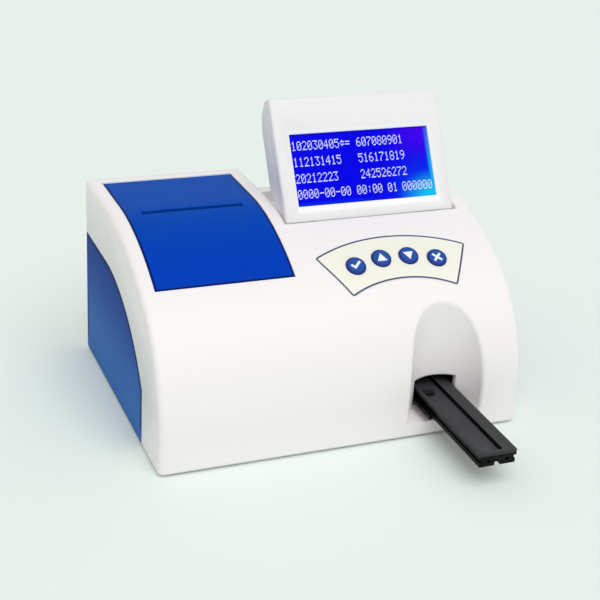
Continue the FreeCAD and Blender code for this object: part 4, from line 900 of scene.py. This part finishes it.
FINISHES: dict[Slot, Finish] = {
    Slot.CASE: MouldedPlastic(
        "case_satin", screen(244, 240, 240), 0.42, clouds=0.006, soft=1.6 * MM),
    Slot.BASE: MouldedPlastic(
        "base_matt", screen(232, 231, 228), 0.6, grain=0.8 * MM, depth=0.03 * MM),
    Slot.COVER: CoverPlastic(
        "cover_gloss", screen(4, 62, 184), 0.34, grain=0.3 * MM, depth=0.002 * MM, clouds=0.04,
        shine=0.02),
    Slot.PANEL: PanelPlastic(
        "panel_satin", screen(58, 110, 182), 0.5, depth=0.006 * MM, clouds=0.05, shine=0.03),
    Slot.DISPLAY: BezelPlastic(
        "display_satin", screen(235, 233, 234), 0.46, clouds=0.006, soft=0.7 * MM),
    Slot.LCD: LitScreen("display_picture"),
    Slot.MODULE: MouldedPlastic("module_black", screen(28, 28, 34), 0.5),
    Slot.OVERLAY: OverlayFilm("key_film", screen(242, 241, 228), screen(30, 42, 96)),
    Slot.KEY: KeyPlastic(
        "key_blue", screen(18, 76, 160), 0.36, grain=0.3 * MM, depth=0.003 * MM, clouds=0.06,
        shine=0.25),
    Slot.BOARD: CircuitBoard("solder_mask"),
    Slot.STEEL: Metal("bright_steel", (0.62, 0.62, 0.64)),
    Slot.BAY: MouldedPlastic(
        "bay_grey", screen(120, 122, 126), 0.55, grain=0.7 * MM, depth=0.03 * MM),
    Slot.PAPER: Fibre("receipt_paper", screen(240, 240, 236), 0.02),
    Slot.CARD: Fibre("core_card", screen(176, 148, 112), 0.14),
    Slot.CERAMIC: MouldedPlastic(
        "ceramic_white", screen(240, 239, 232), 0.3, grain=0.2 * MM, depth=0.004 * MM, gloss=0.3),
    Slot.ROLLER: Rubber("roller_rubber", screen(44, 44, 45)),
    Slot.GEAR: MouldedPlastic("gear_nylon", screen(226, 222, 206), 0.42, clouds=0.03),
    Slot.MOTOR: Metal("plated_can", (0.56, 0.56, 0.57), 0.36, (14.0, 1.0, 14.0)),
    Slot.TRAY: TrayPlastic(
        "tray_black", screen(59, 60, 63), 0.42, grain=0.35 * MM, depth=0.01 * MM, clouds=0.08,
        shine=0.1),
    Slot.LENS: Glass("lens_glass"),
    Slot.BRASS: Metal("turned_brass", (0.72, 0.53, 0.24), 0.26, (14.0, 14.0, 1.0)),
}
EXTRA_FINISHES: dict[str, Finish] = {
    "print": MouldedPlastic(
        "key_print", screen(244, 246, 250), 0.5, grain=0.2 * MM, depth=0.004 * MM),
    "clip": MouldedPlastic(
        "clip_black", screen(26, 27, 29), 0.6, grain=0.35 * MM, depth=0.01 * MM, shine=0.12),
    "dots": LitDots("display_dots"),
}


class Paintbox:
    """Makes each finish once and hands out its material."""

    def __init__(self) -> None:
        """Make every finish."""
        self.slots = {slot: finish.material() for slot, finish in FINISHES.items()}
        self.extras = {key: finish.material() for key, finish in EXTRA_FINISHES.items()}

    def of_node(self, node: str) -> bpy.types.Material:
        """The finish of the slot that the record gives a node."""
        named = {row["node"]: row["material_slot"] for row in frame["record"]["subparts"]}
        return self.slots[Slot(named[node])]


# ------------------------------------------------------------------ making pieces
def piece_from(name: str, mesh: bmesh.types.BMesh, sharp: float = 32.0) -> bpy.types.Object:
    """Turn a finished bmesh into a piece at the origin, smooth but for its sharp edges.

    Args:
        name: The piece's name.
        mesh: Its geometry, already in place.
        sharp: The least angle between two faces that stays a hard edge, in degrees.

    Returns:
        The new object.
    """
    data = bpy.data.meshes.new(name)
    mesh.to_mesh(data)
    mesh.free()
    data.shade_smooth()
    data.set_sharp_from_angle(angle=math.radians(sharp))
    piece = bpy.data.objects.new(name, data)
    bpy.context.scene.collection.objects.link(piece)
    return piece


def merged_node(node: str) -> bmesh.types.BMesh:
    """Copy a node's triangles and join them into whole faces.

    Args:
        node: The node's name.

    Returns:
        The merged copy.
    """
    mesh = bmesh.new()
    mesh.from_mesh(frame["nodes"][node].data)
    bmesh.ops.remove_doubles(mesh, verts=mesh.verts, dist=0.002 * MM)
    bmesh.ops.dissolve_limit(mesh, angle_limit=math.radians(0.2), verts=mesh.verts,
                             edges=mesh.edges, use_dissolve_boundaries=False, delimit=set())
    return mesh


def soften(mesh: bmesh.types.BMesh, width: float, angle: float = 35.0) -> None:
    """Round the edges where two faces meet at more than an angle.

    Args:
        mesh: The bmesh to change.
        width: Breadth of the rounding, in metres.
        angle: The angle, in degrees.
    """
    hard = [edge for edge in mesh.edges
            if edge.is_manifold and edge.calc_face_angle(0.0) > math.radians(angle)]
    bmesh.ops.bevel(mesh, geom=hard, offset=width, offset_type="OFFSET", segments=2, profile=0.5,
                    affect="EDGES", clamp_overlap=True, material=-1)


def turned(outline: Sequence[tuple[float, float]], steps: int = 96) -> bmesh.types.BMesh:
    """Spin an outline about Z.

    Args:
        outline: Distance from the axis and height of each point, in millimetres.
        steps: How many faces go round.

    Returns:
        The turned solid.
    """
    mesh = bmesh.new()
    points = [mesh.verts.new((radius * MM, 0.0, height * MM)) for radius, height in outline]
    edges = [mesh.edges.new(pair) for pair in zip(points, points[1:])]
    bmesh.ops.spin(mesh, geom=points + edges, cent=(0, 0, 0), axis=(0, 0, 1), angle=2 * math.pi,
                   steps=steps, use_merge=True, use_normal_flip=False, use_duplicate=False)
    bmesh.ops.remove_doubles(mesh, verts=mesh.verts, dist=0.001 * MM)
    bmesh.ops.recalc_face_normals(mesh, faces=mesh.faces)
    return mesh


def plate(outline: Sequence[tuple[float, float]], low: float, high: float) -> bmesh.types.BMesh:
    """Raise a flat outline into a thin plate.

    Args:
        outline: Its corners in millimetres, in order.
        low: Height of its underside, in millimetres.
        high: Height of its top, in millimetres.

    Returns:
        The plate.
    """
    mesh = bmesh.new()
    face = mesh.faces.new([mesh.verts.new((x * MM, y * MM, low * MM)) for x, y in outline])
    raised = bmesh.ops.extrude_face_region(mesh, geom=[face])["geom"]
    top = [item for item in raised if isinstance(item, bmesh.types.BMVert)]
    bmesh.ops.translate(mesh, verts=top, vec=(0, 0, (high - low) * MM))
    bmesh.ops.recalc_face_normals(mesh, faces=mesh.faces)
    return mesh


def settle(piece: bpy.types.Object, body: str, material: bpy.types.Material,
           nodes: Sequence[str] = ()) -> bpy.types.Object:
    """Give a piece its finish and its body, and hide the nodes it stands for.

    Args:
        piece: The piece.
        body: The body that carries it.
        material: The material.
        nodes: CAD nodes that it replaces.

    Returns:
        The same piece.
    """
    piece.data.materials.clear()
    piece.data.materials.append(material)
    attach(piece, body)
    if nodes:
        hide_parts(*nodes)
    LOG.info("piece %s rides on %s with %d faces", piece.name, body, len(piece.data.polygons))
    return piece


# ------------------------------------------------------------------ sub-assemblies
@dataclass(frozen=True)
class CaseSkin:
    """The case's outer surface in millimetres: swept arcs, round side edges and the scoop.

    Each arc has its centre's Y and Z, its radius, and the slopes in degrees between which it runs.
    """

    half_width: float = 105.0
    edge: float = 3.2
    arcs: tuple[tuple[float, float, float, float, float], ...] = (
        (61.132, -19.6, 127.6, 0.0, 12.95), (66.040, -40.943, 149.5, 12.95, 33.34),
        (23.50, 23.72, 72.1, 33.34, 90.0))
    scoop: tuple[float, float, float] = (59.3, -51.7, 22.2)
    near: float = 0.06

    def swept(self, y: float, z: float) -> tuple[Vector, float] | None:
        """Find the way out of the case across its profile.

        Args:
            y: Place along the case.
            z: Height.

        Returns:
            The outward direction in the profile's plane and the depth under the surface, or None.
        """
        top, front = self.arcs[0], self.arcs[-1]
        if y >= top[0]:
            return Vector((0.0, 0.0, 1.0)), top[1] + top[2] - z
        if z <= front[1]:
            return Vector((0.0, -1.0, 0.0)), y - (front[0] - front[2])
        for centre_y, centre_z, radius, low, high in self.arcs:
            out = Vector((0.0, y - centre_y, z - centre_z))
            slope = math.degrees(math.atan2(-out.y, out.z))
            if low - 0.02 <= slope <= high + 0.02:
                return out.normalized(), radius - out.length
        return None

    def normal(self, point: Vector, face: Vector) -> Vector:
        """Work out the true normal at a corner of a face.

        Args:
            point: The corner, in metres.
            face: The face's own normal.

        Returns:
            The normal of the surface that the face belongs to, or a zero vector for any other face.
        """
        x, y, z = (value / MM for value in point)
        centre_x, centre_y, radius = self.scoop
        inward = Vector((centre_x - x, centre_y - y, 0.0))
        found = []
        if abs(inward.length - radius) < self.near:
            found.append(inward.normalized())
        swept = self.swept(y, z)
        if swept is not None:
            out, depth = swept
            beyond = max(0.0, abs(x) - self.half_width + self.edge)
            rise = self.edge - depth
            if abs(math.hypot(beyond, rise) - self.edge) < self.near:
                aside = Vector((math.copysign(beyond, x), 0.0, 0.0))
                found.append((out * rise + aside).normalized())
        close = [way for way in found if way.dot(face) > 0.97]
        return max(close, key=face.dot) if close else Vector()

    def even(self, data: bpy.types.Mesh) -> None:
        """Give a mesh the surface's own normals wherever its faces lie on it.

        Args:
            data: The mesh.
        """
        data.normals_split_custom_set([self.normal(data.vertices[index].co, face.normal)
                                       for face in data.polygons for index in face.vertices])


@dataclass
class Shells:
    """The moulded covers, as smooth copies of their solids with small rounded edges."""

    paints: Paintbox
    skin: CaseSkin = CaseSkin()
    # Each ring: how far in from the panel's edge it lies, and the painted shadow's strength there.
    panel_shadow_rings: tuple[tuple[float, float], ...] = ((0.0, 1.0), (1.6 * MM, 0.85), (2.8 * MM, 0.0))
    copies: Mapping[str, tuple[str, str, Slot, float]] = field(default_factory=lambda: {
        "upper_case": ("case_shell", "case", Slot.CASE, 0.0),
        "printer_cover": ("cover_shell", "cover", Slot.COVER, 0.25),
        "side_panel_left": ("panel_left", "case", Slot.PANEL, 0.15),
        "side_panel_right": ("panel_right", "case", Slot.PANEL, 0.15),
        "display_bezel": ("display_front", "display", Slot.DISPLAY, 0.3),
        "display_back": ("display_rear", "display", Slot.DISPLAY, 0.3),
        "keypad_overlay": ("key_film_sheet", "case", Slot.OVERLAY, 0.0),
    })

    def shade_panel_edge(self, mesh: bmesh.types.BMesh) -> None:
        """Mark how near the corners of a side panel's face are to its edge, for its painted shadow.

        Args:
            mesh: The panel.
        """
        layer = mesh.verts.layers.float.new(EDGE_SHADE)
        outer = max(mesh.faces, key=lambda face: (round(face.calc_area(), 6),
                                                  abs(face.calc_center_median().x)))
        for inset, shade in self.panel_shadow_rings:
            if inset:
                bmesh.ops.inset_region(mesh, faces=[outer], thickness=inset, use_even_offset=True)
            for corner in outer.verts:
                corner[layer] = shade

    def build(self) -> list[bpy.types.Object]:
        """Make every shell.

        Returns:
            The pieces.
        """
        made = []
        for node, (name, body, slot, width) in self.copies.items():
            mesh = merged_node(node)
            if slot is Slot.PANEL:
                self.shade_panel_edge(mesh)
            if width:
                soften(mesh, width * MM)
            piece = piece_from(name, mesh)
            if slot in (Slot.CASE, Slot.COVER, Slot.OVERLAY):
                self.skin.even(piece.data)
            made.append(settle(piece, body, self.paints.slots[slot], [node]))
        return made


@dataclass
class Keys:
    """Four round keys on an arc, each with a printed mark, in millimetres.

    The top gives points from the middle outwards, each by its radius and how far it lies under
    the rim. The marks give each key's outline, in the keys' order, and sunk says how far under the
    rim a mark's underside and top lie.
    """

    paints: Paintbox
    proud: float = 1.2
    length: float = 6.4
    flange: float = 0.9
    flange_width: float = 1.0
    top: tuple[tuple[float, float], ...] = (
        (0.0, 0.22), (2.5, 0.20), (3.9, 0.12), (4.6, 0.01), (4.95, 0.0), (5.35, 0.09), (5.6, 0.26),
        (5.7, 0.5))
    sunk: tuple[float, float] = (0.3, 0.08)
    marks: Mapping[str, Sequence[tuple[float, float]]] = field(default_factory=lambda: {
        "confirm": ((-3.3, 0.1), (-2.3, 1.1), (-0.9, -0.4), (2.4, 2.9), (3.4, 1.9), (-0.9, -2.4)),
        "up": ((-3.0, -2.2), (3.0, -2.2), (0.0, 3.0)),
        "down": ((-3.0, 2.2), (0.0, -3.0), (3.0, 2.2)),
        "cancel": ((-2.8, -1.8), (-1.8, -2.8), (0.0, -1.0), (1.8, -2.8), (2.8, -1.8), (1.0, 0.0),
                   (2.8, 1.8), (1.8, 2.8), (0.0, 1.0), (-1.8, 2.8), (-2.8, 1.8), (-1.0, 0.0)),
    })

    def cap(self) -> bmesh.types.BMesh:
        """Turn a key's body: a dished top inside a rounded rim, and the flange under the case.

        Returns:
            The body, in the key's own axes.
        """
        radius, low = self.top[-1][0], self.proud - self.length
        wide, ledge = radius + self.flange_width, low + self.flange
        return turned([(out, self.proud - under) for out, under in self.top]
                      + [(radius, ledge), (wide, ledge), (wide, low), (0.0, low)])

    def mark(self, name: str) -> bmesh.types.BMesh:
        """A key's mark as a thin printed plate, in the key's own axes."""
        return plate(self.marks[name], *(self.proud - under for under in self.sunk))

    def build(self) -> list[bpy.types.Object]:
        """Make the keys and their marks.

        Returns:
            The pieces.
        """
        made = []
        for index, name in enumerate(self.marks):
            for part, mesh, material, nodes in (
                    ("cap", self.cap(), self.paints.slots[Slot.KEY], [f"key_{name}"]),
                    ("mark", self.mark(name), self.paints.extras["print"], [])):
                mesh.transform(ARC.spot(index))
                piece = piece_from(f"{name}_{part}", mesh)
                made.append(settle(piece, f"{name}_key", material, nodes))
        return made


@dataclass
class DotMatrix:
    """Rows of plain numbers on the lit screen, drawn cell by cell, in millimetres.

    Each glyph has its lines from the top, with one bit for each column. Each row of figures has its
    left end and its foot in the display's frame.
    """

    paints: Paintbox
    columns: int = 5
    lines: int = 7
    cell_x: float = 0.55
    cell_y: float = 0.76
    fill: float = 0.84
    face: float = -2.17
    thick: float = 0.06
    glyphs: Mapping[str, tuple[int, ...]] = field(default_factory=lambda: {
        "0": (14, 17, 19, 21, 25, 17, 14), "1": (4, 12, 4, 4, 4, 4, 14),
        "2": (14, 17, 1, 2, 4, 8, 31), "3": (31, 2, 4, 2, 1, 17, 14), "4": (2, 6, 10, 18, 31, 2, 2),
        "5": (31, 16, 30, 1, 1, 17, 14), "6": (6, 8, 16, 30, 17, 17, 14),
        "7": (31, 1, 2, 4, 8, 8, 8), "8": (14, 17, 17, 14, 17, 17, 14),
        "9": (14, 17, 17, 15, 1, 2, 12), "-": (0, 0, 0, 31, 0, 0, 0), ":": (0, 4, 4, 0, 4, 4, 0),
        "<": (0, 4, 15, 16, 15, 4, 0), "=": (0, 0, 31, 0, 31, 0, 0),
    })
    rows: tuple[tuple[float, float, str], ...] = (
        (-0.8, 41.0, "102030405<="), (39.2, 41.0, "607080901"), (-0.8, 31.7, "112131415"),
        (39.2, 31.7, "516171819"), (-0.8, 22.3, "20212223"), (39.2, 22.3, "242526272"),
        (-0.8, 13.3, "0000-00-00"), (35.5, 13.3, "00:00"), (55.0, 13.3, "01"),
        (64.2, 13.3, "000000"))

    def lit(self) -> list[tuple[float, float]]:
        """List the lit cells.

        Returns:
            The middle of each cell on the screen, in millimetres.
        """
        return [(left + (place * (self.columns + 1) + column + 0.5) * self.cell_x,
                 low + (self.lines - 0.5 - line) * self.cell_y)
                for left, low, text in self.rows for place, letter in enumerate(text)
                for line, bits in enumerate(self.glyphs[letter]) for column in range(self.columns)
                if bits >> (self.columns - 1 - column) & 1]

    def build(self) -> list[bpy.types.Object]:
        """Lay the lit cells as thin blocks just in front of the glass.

        Returns:
            The piece, in a list.
        """
        mesh = bmesh.new()
        block = Vector((self.cell_x * self.fill, self.cell_y * self.fill, self.thick)) * MM
        for x, up in self.lit():
            middle = Matrix.Translation(Vector((x, up, self.face - self.thick / 2)) * MM)
            bmesh.ops.create_cube(mesh, size=1.0, matrix=middle @ Matrix.Diagonal((*block, 1.0)))
        mesh.transform(DISPLAY.matrix())
        piece = piece_from("display_numbers", mesh)
        return [settle(piece, "display", self.paints.extras["dots"])]


@dataclass
class Tray:
    """The strip tray and its clip, with worn edges."""

    paints: Paintbox
    rounding: float = 0.22 * MM

    def build(self) -> list[bpy.types.Object]:
        """Make the tray pieces.

        Returns:
            The pieces.
        """
        made = []
        for node, name, material in (("strip_tray", "tray_body", self.paints.slots[Slot.TRAY]),
                                     ("strip_clip", "tray_clip", self.paints.extras["clip"])):
            mesh = merged_node(node)
            soften(mesh, self.rounding)
            made.append(settle(piece_from(name, mesh), "tray", material, [node]))
        return made


@dataclass
class RearFittings:
    """Contacts in the data port and the marks on the power rocker, in millimetres.

    Each row of pins has its height above the port's middle and its count. The rocker's numbers are
    the middle of its face. The bar has its half width, foot and head on that face, and the ring its
    two radii and its middle.
    """

    paints: Paintbox
    port_x: float = -36.5
    port_z: float = 21.35
    port_floor: float = 101.0
    pin_rows: tuple[tuple[float, int], ...] = ((1.42, 5), (-1.42, 4))
    pin_pitch: float = 2.5484
    pin_radii: tuple[float, float] = (0.5, 0.4)
    pin_length: float = 3.6
    pin_root: float = 0.2
    rocker: tuple[float, float, float] = (66.5, 103.6, 41.0)
    mark_span: tuple[float, float] = (-0.1, 0.05)
    bar: tuple[float, float, float] = (0.4, 3.2, 6.6)
    ring: tuple[float, float, float] = (1.2, 1.8, -4.9)

    def pins(self) -> bpy.types.Object:
        """Set nine round contacts in two rows.

        Returns:
            The piece.
        """
        mesh = bmesh.new()
        foot, tip = (radius * MM for radius in self.pin_radii)
        along = self.port_floor + self.pin_length / 2 - self.pin_root
        for row, count in self.pin_rows:
            for index in range(count):
                x = self.port_x + (index - (count - 1) / 2) * self.pin_pitch
                place = Matrix.Translation(Vector((x, along, self.port_z + row)) * MM)
                bmesh.ops.create_cone(mesh, cap_ends=True, segments=20, radius1=foot, radius2=tip,
                                      depth=self.pin_length * MM,
                                      matrix=place @ Matrix.Rotation(math.radians(-90), 4, "X"))
        brass = self.paints.slots[Slot.BRASS]
        return settle(piece_from("port_pins", mesh), "case", brass)

    def mark(self, name: str, mesh: bmesh.types.BMesh) -> bpy.types.Object:
        """Put a printed mark on the rocker's face.

        Args:
            name: The mark's name.
            mesh: Its plate, in the face's own axes.

        Returns:
            The piece.
        """
        mesh.transform(Matrix.Translation(Vector(self.rocker) * MM)
                       @ Matrix.Rotation(math.radians(180), 4, "Z")
                       @ Matrix.Rotation(math.radians(90), 4, "X"))
        return settle(piece_from(name, mesh), "rocker", self.paints.extras["print"])

    def build(self) -> list[bpy.types.Object]:
        """Make the rear fittings.

        Returns:
            The pieces.
        """
        low, high = self.mark_span
        half, foot, head = self.bar
        bar = plate([(-half, foot), (half, foot), (half, head), (-half, head)], low, high)
        inner, outer, middle = self.ring
        ring = turned([(inner, low), (outer, low), (outer, high), (inner, high), (inner, low)], 40)
        ring.transform(Matrix.Translation((0.0, middle * MM, 0.0)))
        return [self.pins(), self.mark("rocker_bar", bar), self.mark("rocker_ring", ring)]


@dataclass
class Studio:
    """Camera, lamp, sky and bench top, in metres and degrees, with the lens in millimetres."""

    camera_place: tuple[float, float, float] = (-0.2733, -0.6094, 0.3751)
    lens: float = 79.8
    sensor: float = 36.0
    clip: Span = (0.05, 50.0)
    pitch: float = 24.80
    yaw: float = 23.25
    roll: float = 3.61
    bench: Colour = screen(238, 247, 241)
    bench_size: float = 12.0
    cloud_size: float = 0.35
    backdrop: Colour = screen(231, 241, 235)
    sky: Colour = (1.0, 1.0, 1.0)
    sky_level: float = 0.565
    sun_level: float = 1.41
    sun_spread: float = 55.0
    sun_toward: tuple[float, float, float] = (0.02, 0.62, -1.0)

    def camera(self) -> None:
        """Stand the camera where it sees the analyzer from the front left and above."""
        pitch, yaw, roll = (math.radians(angle) for angle in (self.pitch, self.yaw, self.roll))
        ahead = Vector((math.sin(yaw), math.cos(yaw), 0.0)) * math.cos(pitch)
        ahead.z = -math.sin(pitch)
        level = Vector((math.cos(yaw), -math.sin(yaw), 0.0))
        up = level.cross(ahead)
        right = level * math.cos(roll) + up * math.sin(roll)
        over = up * math.cos(roll) - level * math.sin(roll)
        data = bpy.data.cameras.new("studio_camera")
        data.lens, data.sensor_width, data.sensor_fit = self.lens, self.sensor, "HORIZONTAL"
        data.clip_start, data.clip_end = self.clip
        camera = bpy.data.objects.new("studio_camera", data)
        turn = Matrix((right, over, -ahead)).transposed().to_4x4()
        camera.matrix_world = Matrix.Translation(self.camera_place) @ turn
        bpy.context.scene.collection.objects.link(camera)
        bpy.context.scene.camera = camera

    def key_lamp(self) -> None:
        """Hang one wide lamp that lights evenly from far away."""
        data = bpy.data.lights.new("key_lamp", "SUN")
        data.energy, data.angle = self.sun_level, math.radians(self.sun_spread)
        lamp = bpy.data.objects.new("key_lamp", data)
        lamp.rotation_euler = Vector(self.sun_toward).to_track_quat("-Z", "Y").to_euler()
        bpy.context.scene.collection.objects.link(lamp)

    def sky_light(self) -> None:
        """Even light all round, and a backdrop of the bench's tone where it is seen or mirrored."""
        world = bpy.data.worlds.new("studio_sky")
        bpy.context.scene.world = world
        graph = Graph(world)
        seen, mirrored, through = (
            graph.node("ShaderNodeLightPath", output=ray)
            for ray in ("Is Camera Ray", "Is Glossy Ray", "Is Transmission Ray"))
        even, plain = (
            graph.node("ShaderNodeBackground", values={"Color": colour, "Strength": level})
            for colour, level in ((self.sky, self.sky_level), (self.backdrop, 1.0)))
        mixed = graph.node("ShaderNodeMixShader", values={
            0: seen.most(mirrored).most(through), 1: even, 2: plain})
        graph.close("ShaderNodeOutputWorld", mixed)

    def bench_top(self) -> None:
        """Lay the pale bench top, with a hardly visible cloudiness."""
        mesh = bmesh.new()
        bmesh.ops.create_grid(mesh, x_segments=1, y_segments=1, size=self.bench_size)
        top = piece_from("bench_top", mesh)
        material = bpy.data.materials.new("bench_top")
        graph = Graph(material)
        cloud = graph.noise(graph.place(), self.cloud_size)
        graph.surface({"Base Color": graph.blend(shaded(self.bench, 0.985), self.bench, cloud),
                       "Roughness": 0.7 + cloud * 0.1, "Specular IOR Level": 0.2})
        top.data.materials.append(material)

    def build(self) -> None:
        """Set up the whole studio."""
        self.camera()
        self.key_lamp()
        self.sky_light()
        self.bench_top()
        bpy.context.scene.view_settings.view_transform = "Standard"


def dress_nodes(paints: Paintbox) -> None:
    """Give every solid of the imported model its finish.

    Args:
        paints: The finishes.
    """
    for name, item in frame["nodes"].items():
        for place in item.material_slots:
            place.material = paints.of_node(name)
        LOG.info("node %s finished with %s", name, paints.of_node(name).name)


def main() -> None:
    """Build the looks, piece by piece."""
    logging.basicConfig(level=logging.INFO, format="%(message)s")
    paints = Paintbox()
    Studio().build()
    dress_nodes(paints)
    for kind in (Shells, Keys, DotMatrix, Tray, RearFittings):
        made = kind(paints).build()
        LOG.info("%s: %d pieces", kind.__name__, len(made))


if __name__ == "__main__":
    main()
